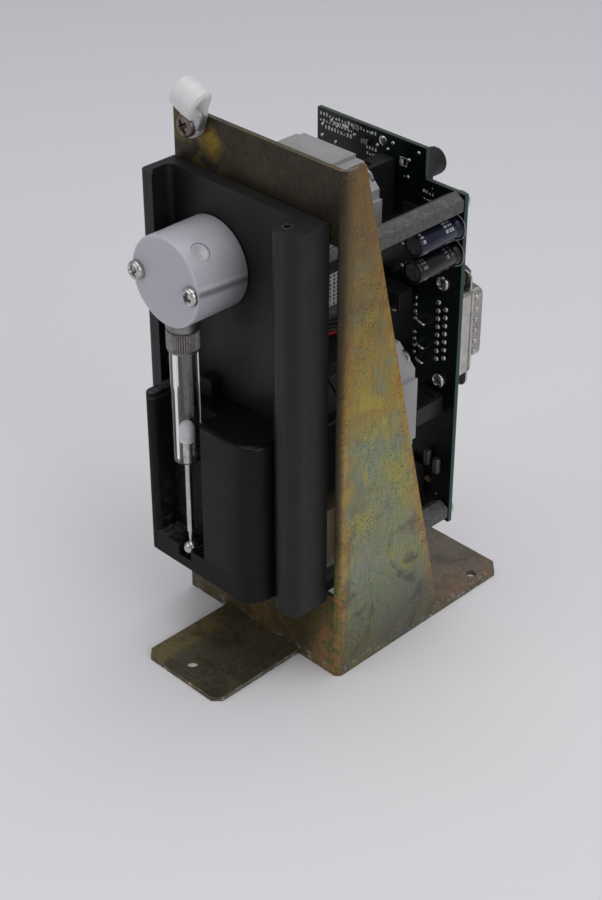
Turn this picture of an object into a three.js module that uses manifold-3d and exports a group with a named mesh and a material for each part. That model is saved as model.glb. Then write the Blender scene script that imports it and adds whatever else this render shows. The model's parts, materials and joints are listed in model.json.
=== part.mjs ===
// Syringe pump module: a small glass syringe, a motor-driven valve and a rack-driven carriage on a
// black extruded frame, with two stepper motors and a control board behind it, all carried by one
// bracket bent from sheet steel.
//
// Millimetres, +Z up, front towards -Y. Inside `assembly` every place is measured from the datum:
// X = 0 is the outer face of the bracket's gusset, Y = 0 the front face of its upright plate and
// Z = 0 the underside of its base. `assembly` is then shifted so that the origin is the middle of
// the footprint.
import * as THREE from 'three';
import { mergeVertices } from 'three/addons/utils/BufferGeometryUtils.js';
import Module from 'manifold-3d';

const wasm = await Module();
wasm.setup();

// ---------------------------------------------------------------- driving dimensions

const GAP = 0.3; // air kept between pieces that touch on the real object
const OVER = 1; // how far a cutting solid runs past the face that it cuts
const SHEET = 1.6; // bracket sheet thickness

const BRACKET = { width: 66.3, height: 167.9, back: 77.8, corner: 4, bendOuter: 2.2, bendInner: 0.6 };
const GUSSET = { topDepth: 8.1, footDepth: 46.2 };
const TONGUE = { left: -49.5, right: -17, front: -34.6, corner: 2.5, holeX: -35.2, holeY: -27.9 };
const WINDOW = { left: -60.5, right: -2.2, bottom: 29.5, top: 146 };
const BASE_OPENING = { left: -46, right: -20, front: 20, back: 38 };
const BASE_HOLE = { radius: 1.6, inset: 4.6, y: 67.5 };
const TONGUE_HOLE_RADIUS = 1.9;
const M3_HOLE_RADIUS = 1.7;
const CLIP_HOLE_RADIUS = 1.9;

const FRAME = { left: -66.3, right: -4.9, bottom: 27.3, top: 152.2, back: -GAP, webFront: -4.7 };
const RAIL = { left: -14.9, front: -14, corner: 4, tapX: -11.6, tapY: -9.4, tapRadius: 1.3, tapDepth: 9 };
const FLANGE = { inner: -63.3, lipInner: -61, lipBack: -11, front: -13.4, corner: 2, fillet: 2 };
const WEB_HOLE = { valveShaft: 4.5, pinion: 6.6 };

const VALVE = { x: -45, z: 128.5, radius: 13.6, front: -24, back: -5, edge: 0.5 };
const PORT = { y: -18, radius: 3.1, depth: 7, angles: [50, 130], passage: 0.8 };
const PORT_PLUG = { radius: 2.8, recess: 0.7, depth: 5 };
const VALVE_SCREW_OFFSET = 11.1;
const PLUG = { radius: 5.6, front: -21.5, back: -6.5, clearance: 0.25 };

const NUT = { radius: 4.9, bore: 4.45, bottom: 105.2, seat: 112, top: 115.7 };
const NUT_STUB = { radius: 2.8, top: 120.5 };
const BARREL = { radius: 4.2, bore: 2.4, bottom: 68.2, top: 111.7 };
const TIP = { radius: 2.27, bottom: 74.7, top: 81.5 };
const PLUNGER = { radius: 1.1, waist: 0.8, waistTop: 42, waistBottom: 39.4, neck: 0.6 };
const BALL = { radius: 2.4, z: 35.7 };
const COLLAR = { radius: 1.35, bottom: 67.4, cone: 0.6 };

const CARRIAGE = { bottom: 29.6, top: 85.2, front: -20.8, back: -5.2 };
const ARM = { left: -60.7, right: -56.9, nose: 1.9, top: 86 };
const BLOCK = { left: -36.1, right: -15.4, corner: 7, wall: 1.6, cavityBottom: 39, cavityTop: 82.4 };
const CHANNEL_WALL = { front: -12.9, back: -11.2, top: 84.4, ledge: 1.6 };
const FLOOR_TOP = 36.9;
const SOCKET = { radius: 2.75, bottom: 33, slot: 5.5 };

const GUIDE = { x: -46.75, width: 5, height: 3.6, bottom: 30, top: 90.6 };
const GUIDE_BLOCK = { width: 12, front: -10.9, back: -6, bottom: 32, top: 60, clearance: 0.3 };

const MOTOR = { half: 21.15, relief: 20, chamferStart: 13.5, step: 10.5, front: 1.9, back: 40.5 };
const MOTOR_BELL = { front: 8, rear: 10, boss: 11, bossFront: 0.1 };
const ROTOR = { radius: 11, bore: 11.4, shaft: 2.5, shaftBore: 2.8, pocket: 2, endPlay: 0.5 };
const DRIVE = { x: -28.8, z: 76 };
const GEAR = { teeth: 12, pitchRadius: 4.6, front: -13.6, back: -7.6, addendum: 0.6, dedendum: 0.85 };
const RACK = { bottom: 40.4, top: 82, back: BLOCK.right - BLOCK.wall - GAP };

const FLAG_DISC = { radius: 9.5, front: 46.9, back: 47.7 };
const SENSOR = { left: -39, right: -33.3, front: 42.5, bottom: 126, top: 144 };
const SENSOR_SLOT = { front: 46.3, back: 48.3, web: 1.8 };
const LOWER_BLOCK = { left: -30, right: -10.5, front: 1.9, back: 20, bottom: 36.5, top: 54.3 };

const BOARD = { left: -65.6, right: -6.4, bottom: 27, shoulder: 140.8, top: 150.3, tabRight: -21.7 };
const BOARD_Y = { front: 56.3, back: 57.9 };
const STANDOFF_ACROSS_FLATS = 6.35;
const STANDOFFS = [
  { name: 'upper_right', x: -9.6, z: 137.6, front: 0 },
  { name: 'lower_right', x: -9.6, z: 30.8, front: MOTOR.front },
  { name: 'upper_left', x: -62, z: 101.9, front: MOTOR.front },
  { name: 'lower_left', x: -62, z: 30.8, front: MOTOR.front },
];
const CAPACITOR = { x: -9.8, radius: 3.7, front: 38.5, upperZ: 129.9, spacing: 8.4 };

const CONNECTOR = { x: -12.9, z: 93.6, width: 12.5, length: 39.2, canLength: 28.2, screwSpacing: 33.32 };
const CONNECTOR_Y = { bodyFront: 58.2, flangeFront: 62.5, flangeBack: 63.2, shellBack: 70 };
const D_SHELL = { halfLong: 12.5, halfShort: 4.2, slant: 1.1, wall: 0.7, corner: 1.6 };
const SWITCH = { x: -26.5, z: 142.2, half: 4.4, bodyBack: 60.4, knobRadius: 4.2, knobBack: 66.8 };

const CLIP = { x: -57, z: 164.8, tiltDegrees: 22, halfWidth: 3.9, strap: 1.2, loopRadius: 4.5, loopRise: 10 };

const PAN_HEADS = {
  m3: { head: 2.9, height: 1.8, shank: 1.4 },
  clip: { head: 3.3, height: 2.2, shank: 1.6 },
};
const FRAME_SCREWS = [
  { x: -62.8, z: 149.2 },
  { x: -18, z: 149.2 },
  { x: -63.3, z: 84 },
  { x: -63.3, z: 62 },
];

// ---------------------------------------------------------------- geometry helpers

function solid(geometry) {
  const bare = geometry.clone();
  bare.deleteAttribute('normal');
  bare.deleteAttribute('uv');
  const welded = mergeVertices(bare, 1e-5);
  return new wasm.Manifold(
    new wasm.Mesh({
      numProp: 3,
      vertProperties: new Float32Array(welded.attributes.position.array),
      triVerts: new Uint32Array(welded.index.array),
    }),
  );
}

function geometryOf(body) {
  const mesh = body.getMesh();
  const geometry = new THREE.BufferGeometry();
  geometry.setAttribute('position', new THREE.BufferAttribute(mesh.vertProperties, 3));
  geometry.setIndex(new THREE.BufferAttribute(mesh.triVerts, 1));
  geometry.computeVertexNormals();
  return geometry;
}

function box(x0, x1, y0, y1, z0, z1) {
  const geometry = new THREE.BoxGeometry(x1 - x0, y1 - y0, z1 - z0);
  return solid(geometry.translate((x0 + x1) / 2, (y0 + y1) / 2, (z0 + z1) / 2));
}

function rodY(radius, y0, y1, x, z, sides = 32) {
  const geometry = new THREE.CylinderGeometry(radius, radius, y1 - y0, sides);
  return solid(geometry.translate(x, (y0 + y1) / 2, z));
}

function rodZ(radius, z0, z1, x, y, sides = 24) {
  const geometry = new THREE.CylinderGeometry(radius, radius, z1 - z0, sides).rotateX(Math.PI / 2);
  return solid(geometry.translate(x, y, (z0 + z1) / 2));
}

function extruded(shape, depth, curveSegments) {
  return new THREE.ExtrudeGeometry(shape, { depth, bevelEnabled: false, curveSegments });
}

function prismZ(shape, z0, z1, curveSegments = 6) {
  return solid(extruded(shape, z1 - z0, curveSegments).translate(0, 0, z0));
}

// The shape's x is the object's X and its y is the object's Z.
function prismY(shape, y0, y1, curveSegments = 6) {
  return solid(extruded(shape, y1 - y0, curveSegments).rotateX(Math.PI / 2).translate(0, y1, 0));
}

// The shape's x is the object's Y and its y is the object's Z.
function prismX(shape, x0, x1, curveSegments = 6) {
  const axes = new THREE.Matrix4().makeBasis(
    new THREE.Vector3(0, 1, 0),
    new THREE.Vector3(0, 0, 1),
    new THREE.Vector3(1, 0, 0),
  );
  return solid(extruded(shape, x1 - x0, curveSegments).applyMatrix4(axes).translate(x0, 0, 0));
}

// A turned piece about a line parallel to Y; the profile holds [radius, y] from low y to high y.
function turnedY(profile, x, z, sides = 24) {
  const points = profile.map(([radius, y]) => new THREE.Vector2(radius, y));
  return solid(new THREE.LatheGeometry(points, sides).translate(x, 0, z));
}

// A turned piece about a vertical line; the profile holds [radius, z] from low z to high z.
function turnedZ(profile, x, y, sides = 24) {
  const points = profile.map(([radius, z]) => new THREE.Vector2(radius, z));
  return solid(new THREE.LatheGeometry(points, sides).rotateX(Math.PI / 2).translate(x, y, 0));
}

function outline(points) {
  return new THREE.Shape(points.map(([x, y]) => new THREE.Vector2(x, y)));
}

function roundedRectangle(x0, x1, y0, y1, radius) {
  const shape = new THREE.Shape();
  shape.moveTo(x0 + radius, y0);
  shape.lineTo(x1 - radius, y0);
  shape.absarc(x1 - radius, y0 + radius, radius, -Math.PI / 2, 0, false);
  shape.lineTo(x1, y1 - radius);
  shape.absarc(x1 - radius, y1 - radius, radius, 0, Math.PI / 2, false);
  shape.lineTo(x0 + radius, y1);
  shape.absarc(x0 + radius, y1 - radius, radius, Math.PI / 2, Math.PI, false);
  shape.lineTo(x0, y0 + radius);
  shape.absarc(x0 + radius, y0 + radius, radius, Math.PI, 1.5 * Math.PI, false);
  return shape;
}

// ---------------------------------------------------------------- assembly and materials

const assembly = new THREE.Group();
const footprintMiddleX = -BRACKET.width / 2;
const footprintMiddleY = (TONGUE.front + BRACKET.back) / 2;
assembly.position.set(-footprintMiddleX, -footprintMiddleY, 0);

const FINISHES = {
  zincPlate: [0x8a8558, 0.42, 0.75],
  blackAnodised: [0x1b1c1e, 0.45, 0.35],
  blackMoulding: [0x202124, 0.38, 0.0],
  milkyPlastic: [0xd2d3da, 0.35, 0.0],
  nylon: [0xd8d8d4, 0.5, 0.0],
  steel: [0xa9a8a4, 0.3, 0.9],
  darkScrew: [0x5f5552, 0.4, 0.8],
  glass: [0xdfe5e8, 0.05, 0.0],
  ptfe: [0xf2f2f2, 0.5, 0.0],
  bellCasting: [0xb4b6bb, 0.45, 0.6],
  motorStack: [0x222326, 0.5, 0.3],
  bareAluminium: [0xc9c8c2, 0.3, 0.9],
  boardGreen: [0x12291f, 0.4, 0.0],
  sleeveNavy: [0x1d2440, 0.35, 0.0],
  sleeveBlack: [0x17181b, 0.35, 0.0],
  connectorPlastic: [0x26272a, 0.5, 0.0],
  tinPlate: [0xb9b8b2, 0.35, 0.85],
  brass: [0xb58a3c, 0.35, 0.9],
  leadRed: [0xb3231d, 0.5, 0.0],
  leadGreen: [0x2e6b3c, 0.5, 0.0],
};

function add(name, body, finish) {
  const [color, roughness, metalness] = FINISHES[finish];
  const material = new THREE.MeshStandardMaterial({ color, roughness, metalness });
  const mesh = new THREE.Mesh(geometryOf(body), material);
  mesh.name = name;
  assembly.add(mesh);
  return mesh;
}

// A pan-head screw along Y. Its head is on the -Y side of `seat`, or on the +Y side when `fromBack`.
function panScrew(size, seat, length, fromBack = false) {
  const { head, height, shank } = PAN_HEADS[size];
  const profile = [
    [0, -height],
    [head * 0.55, -height],
    [head * 0.88, -height * 0.7],
    [head, -height * 0.3],
    [head, 0],
    [shank, 0],
    [shank, length],
    [0, length],
  ];
  const placed = fromBack ? profile.map(([radius, y]) => [radius, -y]).reverse() : profile;
  return (x, z) => turnedY(placed.map(([radius, y]) => [radius, y + seat]), x, z, 20);
}

// ---------------------------------------------------------------- bracket

function gussetDepthAt(z) {
  return GUSSET.footDepth + (GUSSET.topDepth - GUSSET.footDepth) * (z / BRACKET.height);
}

function bracketBody() {
  const { width, height, back, corner, bendOuter, bendInner } = BRACKET;
  const angle = new THREE.Shape();
  angle.moveTo(-width, 0);
  angle.lineTo(-bendOuter, 0);
  angle.absarc(-bendOuter, bendOuter, bendOuter, -Math.PI / 2, 0, false);
  angle.lineTo(0, GUSSET.footDepth + 1);
  angle.lineTo(-SHEET, GUSSET.footDepth + 1);
  angle.lineTo(-SHEET, SHEET + bendInner);
  angle.absarc(-SHEET - bendInner, SHEET + bendInner, bendInner, 0, -Math.PI / 2, true);
  angle.lineTo(-width, SHEET);
  const side = outline([
    [-1, 0],
    [gussetDepthAt(0), 0],
    [gussetDepthAt(height), height],
    [-1, height],
  ]);
  const upright = prismZ(angle, 0, height).intersect(prismX(side, -width - 1, 1));
  const base = outline([
    [-width, 0],
    [TONGUE.left, 0],
    [TONGUE.left, TONGUE.front + TONGUE.corner],
    [TONGUE.left + TONGUE.corner, TONGUE.front],
    [TONGUE.right - TONGUE.corner, TONGUE.front],
    [TONGUE.right, TONGUE.front + TONGUE.corner],
    [TONGUE.right, 0],
    [-bendOuter, 0],
    [0, bendOuter],
    [0, back - corner],
    [-corner, back],
    [-width + corner, back],
    [-width, back - corner],
  ]);
  const through = [-OVER, SHEET + OVER];
  let body = upright.add(prismZ(base, 0, SHEET));
  body = body.subtract(box(WINDOW.left, WINDOW.right, ...through, WINDOW.bottom, WINDOW.top));
  const { left, right, front: openingFront, back: openingBack } = BASE_OPENING;
  body = body.subtract(box(left, right, openingFront, openingBack, ...through));
  body = body.subtract(rodZ(TONGUE_HOLE_RADIUS, ...through, TONGUE.holeX, TONGUE.holeY));
  for (const x of [-BASE_HOLE.inset, -width + BASE_HOLE.inset]) {
    body = body.subtract(rodZ(BASE_HOLE.radius, ...through, x, BASE_HOLE.y));
  }
  for (const { x, z } of FRAME_SCREWS) {
    body = body.subtract(rodY(M3_HOLE_RADIUS, ...through, x, z, 16));
  }
  return body.subtract(rodY(CLIP_HOLE_RADIUS, ...through, CLIP.x, CLIP.z, 16));
}
add('mounting_bracket', bracketBody(), 'zincPlate');

// A folded nylon strap: two tabs under the screw and an open loop above them.
function clipBody() {
  const { halfWidth, strap, loopRadius, loopRise } = CLIP;
  const tabDepth = 2 * strap;
  const tab = new THREE.Shape();
  tab.moveTo(halfWidth, 0);
  tab.lineTo(halfWidth, loopRise);
  tab.lineTo(-halfWidth, loopRise);
  tab.lineTo(-halfWidth, 0);
  tab.absarc(0, 0, halfWidth, Math.PI, 2 * Math.PI, false);
  const loop = new THREE.Shape();
  loop.absarc(-loopRadius, loopRise, loopRadius, 0, 2 * Math.PI, false);
  const bore = new THREE.Path();
  bore.absarc(-loopRadius, loopRise, loopRadius - 1.5 * strap, 0, 2 * Math.PI, true);
  loop.holes.push(bore);
  const hollow = new THREE.Shape();
  hollow.absarc(-loopRadius, loopRise, loopRadius - 1.5 * strap, 0, 2 * Math.PI, false);
  return prismY(tab, -tabDepth, 0)
    .subtract(prismX(hollow, -halfWidth - OVER, halfWidth + OVER, 10))
    .add(prismX(loop, -halfWidth, halfWidth, 10))
    .subtract(rodY(CLIP_HOLE_RADIUS, -tabDepth - OVER, OVER, 0, 0, 16));
}
const clip = add('cable_clip', clipBody(), 'nylon');
clip.rotation.y = THREE.MathUtils.degToRad(CLIP.tiltDegrees);
clip.position.set(CLIP.x, -GAP, CLIP.z);
const clipScrewSeat = -GAP - 2 * CLIP.strap - GAP;
add('cable_clip_screw', panScrew('clip', clipScrewSeat, 4.6)(CLIP.x, CLIP.z), 'darkScrew');

// ---------------------------------------------------------------- extruded front frame

function frameBody() {
  const { left, right, bottom, top, back, webFront } = FRAME;
  const { corner: lipCorner, fillet } = FLANGE;
  const nose = RAIL.corner;
  const throughWeb = [webFront - OVER, back + OVER];
  const section = new THREE.Shape();
  section.moveTo(left, back);
  section.lineTo(left, FLANGE.front + lipCorner);
  section.absarc(left + lipCorner, FLANGE.front + lipCorner, lipCorner, Math.PI, 1.5 * Math.PI, false);
  section.lineTo(FLANGE.lipInner, FLANGE.front);
  section.lineTo(FLANGE.lipInner, FLANGE.front + 0.4);
  section.lineTo(FLANGE.inner, FLANGE.lipBack);
  section.lineTo(FLANGE.inner, webFront - fillet);
  section.absarc(FLANGE.inner + fillet, webFront - fillet, fillet, Math.PI, Math.PI / 2, true);
  section.lineTo(RAIL.left, webFront);
  section.lineTo(RAIL.left, RAIL.front + nose);
  section.absarc(RAIL.left + nose, RAIL.front + nose, nose, Math.PI, 1.5 * Math.PI, false);
  section.lineTo(right - nose, RAIL.front);
  section.absarc(right - nose, RAIL.front + nose, nose, 1.5 * Math.PI, 2 * Math.PI, false);
  section.lineTo(right, back);
  let body = prismZ(section, bottom, top, 8);
  body = body.subtract(rodZ(RAIL.tapRadius, top - RAIL.tapDepth, top + OVER, RAIL.tapX, RAIL.tapY, 16));
  body = body.subtract(rodY(WEB_HOLE.valveShaft, ...throughWeb, VALVE.x, VALVE.z));
  body = body.subtract(rodY(WEB_HOLE.pinion, ...throughWeb, DRIVE.x, DRIVE.z));
  for (const side of [-1, 1]) {
    const x = VALVE.x + side * VALVE_SCREW_OFFSET;
    body = body.subtract(rodY(M3_HOLE_RADIUS, ...throughWeb, x, VALVE.z, 16));
  }
  for (const { x, z } of FRAME_SCREWS) {
    body = body.subtract(rodY(M3_HOLE_RADIUS, back - 4, back + OVER, x, z, 16));
  }
  return body;
}
add('front_frame', frameBody(), 'blackAnodised');

FRAME_SCREWS.forEach(({ x, z }, index) => {
  const body = panScrew('m3', SHEET + GAP, 4.5, true)(x, z);
  add(`frame_screw_${index + 1}`, body, 'steel');
});

// ---------------------------------------------------------------- valve

// A rod that leaves the valve's axis at an angle from +X towards +Z, from one radius to another.
function spoke(angleDegrees, radius, from, to, sides = 24) {
  const turn = new THREE.Matrix4().makeRotationY(THREE.MathUtils.degToRad(90 - angleDegrees));
  const rod = new THREE.CylinderGeometry(radius, radius, to - from, sides)
    .rotateX(Math.PI / 2)
    .translate(0, 0, (from + to) / 2)
    .applyMatrix4(turn)
    .translate(VALVE.x, PORT.y, VALVE.z);
  return solid(rod);
}

function valveBody() {
  const { x, z, radius, front, back, edge } = VALVE;
  let body = turnedY(
    [
      [0, front],
      [radius - edge, front],
      [radius, front + edge],
      [radius, back],
      [0, back],
    ],
    x,
    z,
    64,
  );
  for (const angle of PORT.angles) {
    body = body.subtract(spoke(angle, PORT.radius, radius + OVER - PORT.depth, radius + OVER));
    body = body.subtract(spoke(angle, PORT.passage, PLUG.radius - OVER, radius, 12));
  }
  body = body.subtract(spoke(-90, PORT.passage, PLUG.radius - OVER, radius, 12));
  body = body.subtract(rodZ(NUT.radius + GAP, z - radius - OVER, NUT.top + GAP, x, PORT.y, 32));
  body = body.subtract(rodZ(NUT_STUB.radius + GAP, NUT.top, NUT_STUB.top + GAP, x, PORT.y));
  body = body.subtract(rodY(PLUG.radius + PLUG.clearance, PLUG.front - GAP, back + OVER, x, z));
  for (const side of [-1, 1]) {
    const screwX = x + side * VALVE_SCREW_OFFSET;
    body = body.subtract(rodY(M3_HOLE_RADIUS, front - OVER, back + OVER, screwX, z, 16));
  }
  return body;
}
add('valve_body', valveBody(), 'milkyPlastic');
const plugTop = VALVE.radius - PORT_PLUG.recess;
const portPlug = spoke(PORT.angles[0], PORT_PLUG.radius, plugTop - PORT_PLUG.depth, plugTop);
add('port_plug', portPlug, 'milkyPlastic');
for (const [label, side] of [['left', -1], ['right', 1]]) {
  const screw = panScrew('m3', VALVE.front - GAP, 22)(VALVE.x + side * VALVE_SCREW_OFFSET, VALVE.z);
  add(`valve_screw_${label}`, screw, 'steel');
}

// ---------------------------------------------------------------- syringe

const syringeNut = turnedZ(
  [
    [0.7, NUT.seat],
    [NUT.bore, NUT.seat],
    [NUT.bore, NUT.bottom],
    [NUT.radius - 0.6, NUT.bottom],
    [NUT.radius, NUT.bottom + 0.6],
    [NUT.radius, NUT.top],
    [NUT_STUB.radius, NUT.top],
    [NUT_STUB.radius, NUT_STUB.top],
    [0.7, NUT_STUB.top],
    [0.7, NUT.seat],
  ],
  VALVE.x,
  PORT.y,
  32,
);
add('syringe_nut', syringeNut, 'steel');

const barrel = turnedZ(
  [
    [BARREL.bore, BARREL.bottom],
    [BARREL.radius, BARREL.bottom],
    [BARREL.radius, BARREL.top],
    [BARREL.bore, BARREL.top],
    [BARREL.bore, BARREL.bottom],
  ],
  VALVE.x,
  PORT.y,
  32,
);
add('syringe_barrel', barrel, 'glass');

const tip = turnedZ(
  [
    [0, TIP.bottom],
    [TIP.radius, TIP.bottom],
    [TIP.radius, TIP.top - 1.4],
    [TIP.radius * 0.8, TIP.top - 0.5],
    [0, TIP.top],
  ],
  VALVE.x,
  PORT.y,
  20,
);
add('plunger_tip', tip, 'ptfe');

function plungerBody() {
  const { radius, waist, waistTop, waistBottom, neck } = PLUNGER;
  const { radius: ball, z: ballZ } = BALL;
  const neckMeetsBall = ballZ + Math.sqrt(ball * ball - neck * neck);
  const profile = [];
  const startAngle = -Math.PI / 2;
  const endAngle = Math.acos(neck / ball);
  const steps = 9;
  for (let step = 0; step < steps; step += 1) {
    const angle = startAngle + ((endAngle - startAngle) * step) / steps;
    profile.push([Math.max(0, ball * Math.cos(angle)), ballZ + ball * Math.sin(angle)]);
  }
  profile[0][0] = 0;
  profile.push([neck, neckMeetsBall], [waist, waistBottom], [waist, waistTop - 0.3], [radius, waistTop]);
  profile.push([radius, COLLAR.bottom], [COLLAR.radius, COLLAR.bottom + COLLAR.cone]);
  profile.push([COLLAR.radius, TIP.bottom - GAP], [0, TIP.bottom - GAP]);
  return turnedZ(profile, VALVE.x, PORT.y, 20);
}
add('plunger_rod', plungerBody(), 'steel');

// ---------------------------------------------------------------- carriage and its guide

function carriageBody() {
  const { bottom, top, front, back } = CARRIAGE;
  const arm = new THREE.Shape();
  arm.moveTo(ARM.left, back);
  arm.lineTo(ARM.left, front + ARM.nose);
  arm.absarc(ARM.left + ARM.nose, front + ARM.nose, ARM.nose, Math.PI, 2 * Math.PI, false);
  arm.lineTo(ARM.right, back);
  const block = new THREE.Shape();
  block.moveTo(BLOCK.left, back);
  block.lineTo(BLOCK.left, front);
  block.lineTo(BLOCK.right - BLOCK.corner, front);
  block.absarc(BLOCK.right - BLOCK.corner, front + BLOCK.corner, BLOCK.corner, -Math.PI / 2, 0, false);
  block.lineTo(BLOCK.right, back);
  const socketY = PORT.y;
  const cavityFront = front + BLOCK.wall;
  const cavityLeft = BLOCK.left + BLOCK.wall;
  const cavityRight = BLOCK.right - BLOCK.wall;
  const cavityNose = front + BLOCK.corner;
  const arcMiddle = (BLOCK.corner - BLOCK.wall) * (1 - Math.SQRT1_2);
  const cavity = outline([
    [cavityLeft, back + OVER],
    [cavityLeft, cavityFront],
    [BLOCK.right - BLOCK.corner, cavityFront],
    [cavityRight - arcMiddle, cavityFront + arcMiddle],
    [cavityRight, cavityNose],
    [cavityRight, back + OVER],
  ]);
  const slotLeft = VALVE.x - SOCKET.slot / 2;
  const slotRight = VALVE.x + SOCKET.slot / 2;
  const channelLeft = ARM.right - OVER;
  const channelRight = BLOCK.left + OVER;
  const { front: wallFront, back: wallBack, top: wallTop, ledge } = CHANNEL_WALL;
  const railRoom = GUIDE.width / 2 + 0.6;
  const railFront = FRAME.webFront - GAP - GUIDE.height - 0.6;
  const ledgeOverBack = box(channelLeft, channelRight, wallBack - OVER, back, wallTop - ledge, wallTop)
    .subtract(box(GUIDE.x - railRoom, GUIDE.x + railRoom, railFront, back + OVER, 0, top + OVER));
  return prismZ(arm, bottom, ARM.top)
    .add(prismZ(block, bottom, top, 10))
    .add(box(channelLeft, channelRight, wallFront, wallBack, bottom, wallTop))
    .add(ledgeOverBack)
    .add(box(channelLeft, channelRight, front, wallBack, bottom, FLOOR_TOP))
    .subtract(prismZ(cavity, BLOCK.cavityBottom, BLOCK.cavityTop))
    .subtract(rodZ(SOCKET.radius, SOCKET.bottom, FLOOR_TOP + OVER, VALVE.x, socketY))
    .subtract(box(slotLeft, slotRight, front - OVER, socketY, SOCKET.bottom, FLOOR_TOP + OVER));
}
add('carriage', carriageBody(), 'blackMoulding');

const guideBack = FRAME.webFront - GAP;
const guideFront = guideBack - GUIDE.height;
const guideLeft = GUIDE.x - GUIDE.width / 2;
const guideRight = GUIDE.x + GUIDE.width / 2;
const guideRail = box(guideLeft, guideRight, guideFront, guideBack, GUIDE.bottom, GUIDE.top);
add('guide_rail', guideRail, 'steel');

function guideBlockBody() {
  const { width, front, back, bottom, top, clearance } = GUIDE_BLOCK;
  const groove = box(
    guideLeft - clearance,
    guideRight + clearance,
    guideFront - clearance,
    back + OVER,
    bottom - OVER,
    top + OVER,
  );
  return box(GUIDE.x - width / 2, GUIDE.x + width / 2, front, back, bottom, top).subtract(groove);
}
add('guide_block', guideBlockBody(), 'steel');

// ---------------------------------------------------------------- rack and pinion

const toothPitch = (2 * Math.PI * GEAR.pitchRadius) / GEAR.teeth;

function pinionBody() {
  const outerRadius = GEAR.pitchRadius + GEAR.addendum;
  const rootRadius = GEAR.pitchRadius - GEAR.dedendum;
  const points = [];
  const flank = [[-0.27, rootRadius], [-0.1, outerRadius], [0.1, outerRadius], [0.27, rootRadius]];
  for (let tooth = 0; tooth < GEAR.teeth; tooth += 1) {
    for (const [share, radius] of flank) {
      const angle = ((tooth + share) * 2 * Math.PI) / GEAR.teeth;
      points.push([DRIVE.x + radius * Math.cos(angle), DRIVE.z + radius * Math.sin(angle)]);
    }
  }
  const bore = rodY(ROTOR.shaft + 0.2, GEAR.front - OVER, GEAR.back + OVER, DRIVE.x, DRIVE.z, 24);
  return prismY(outline(points), GEAR.front, GEAR.back).subtract(bore);
}
add('drive_pinion', pinionBody(), 'brass');

function rackBody() {
  const pitchLine = DRIVE.x + GEAR.pitchRadius;
  const tipX = pitchLine - GEAR.addendum;
  const rootX = pitchLine + GEAR.dedendum;
  const points = [
    [RACK.back, RACK.top],
    [RACK.back, RACK.bottom],
    [rootX, RACK.bottom],
  ];
  const firstGap = Math.ceil((RACK.bottom - DRIVE.z) / toothPitch);
  const lastGap = Math.floor((RACK.top - DRIVE.z) / toothPitch);
  for (let gap = firstGap; gap < lastGap; gap += 1) {
    const toothMiddle = DRIVE.z + (gap + 0.5) * toothPitch;
    points.push([rootX, toothMiddle - 0.28 * toothPitch]);
    points.push([tipX, toothMiddle - 0.1 * toothPitch]);
    points.push([tipX, toothMiddle + 0.1 * toothPitch]);
    points.push([rootX, toothMiddle + 0.28 * toothPitch]);
  }
  points.push([rootX, RACK.top]);
  return prismY(outline(points), GEAR.front, GEAR.back);
}
add('carriage_rack', rackBody(), 'brass');

// ---------------------------------------------------------------- motors

// One bell or stack outline: a square whose corners are stepped back and chamfered.
function motorOutline(x, z) {
  const { half, relief, chamferStart, step } = MOTOR;
  const quarter = [
    [half, -step],
    [half, step],
    [relief, step],
    [relief, chamferStart],
    [chamferStart, relief],
    [step, relief],
  ];
  const points = [];
  for (const [cos, sin] of [[1, 0], [0, 1], [-1, 0], [0, -1]]) {
    for (const [u, v] of quarter) {
      points.push([x + u * cos - v * sin, z + u * sin + v * cos]);
    }
    points.push([x + step * cos - half * sin, z + step * sin + half * cos]);
  }
  return outline(points.filter((point, index) => {
    const before = points[(index + points.length - 1) % points.length];
    return Math.hypot(point[0] - before[0], point[1] - before[1]) > 1e-6;
  }));
}

function addMotor(name, x, z, shaftFront, shaftBack) {
  const shape = motorOutline(x, z);
  const stackFront = MOTOR.front + MOTOR_BELL.front;
  const stackBack = MOTOR.back - MOTOR_BELL.rear;
  const pocketFront = stackFront - ROTOR.pocket;
  const pocketBack = stackBack + ROTOR.pocket;
  const frontBell = prismY(shape, MOTOR.front, stackFront)
    .add(rodY(MOTOR_BELL.boss, MOTOR_BELL.bossFront, MOTOR.front + OVER, x, z, 40))
    .subtract(rodY(ROTOR.shaftBore, MOTOR_BELL.bossFront - OVER, stackFront + OVER, x, z, 24))
    .subtract(rodY(ROTOR.bore, pocketFront, stackFront + OVER, x, z, 32));
  const stack = prismY(shape, stackFront + GAP, stackBack - GAP).subtract(
    rodY(ROTOR.bore, stackFront, stackBack, x, z, 32),
  );
  const rearBell = prismY(shape, stackBack, MOTOR.back)
    .subtract(rodY(ROTOR.bore, stackBack - OVER, pocketBack, x, z, 32))
    .subtract(rodY(ROTOR.shaftBore, stackBack - OVER, MOTOR.back + OVER, x, z, 24));
  add(`${name}_front_bell`, frontBell, 'bellCasting');
  add(`${name}_stack`, stack, 'motorStack');
  add(`${name}_rear_bell`, rearBell, 'bellCasting');
  const rotor = turnedY(
    [
      [0, shaftFront],
      [ROTOR.shaft, shaftFront],
      [ROTOR.shaft, pocketFront + ROTOR.endPlay],
      [ROTOR.radius, pocketFront + ROTOR.endPlay],
      [ROTOR.radius, pocketBack - ROTOR.endPlay],
      [ROTOR.shaft, pocketBack - ROTOR.endPlay],
      [ROTOR.shaft, shaftBack],
      [0, shaftBack],
    ],
    x,
    z,
    32,
  );
  add(`${name}_rotor`, rotor, 'steel');
}
addMotor('valve_motor', VALVE.x, VALVE.z, PLUG.back + GAP, FLAG_DISC.front - GAP);
addMotor('drive_motor', DRIVE.x, DRIVE.z, GEAR.front - 0.8, MOTOR.back - 0.5);
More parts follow.
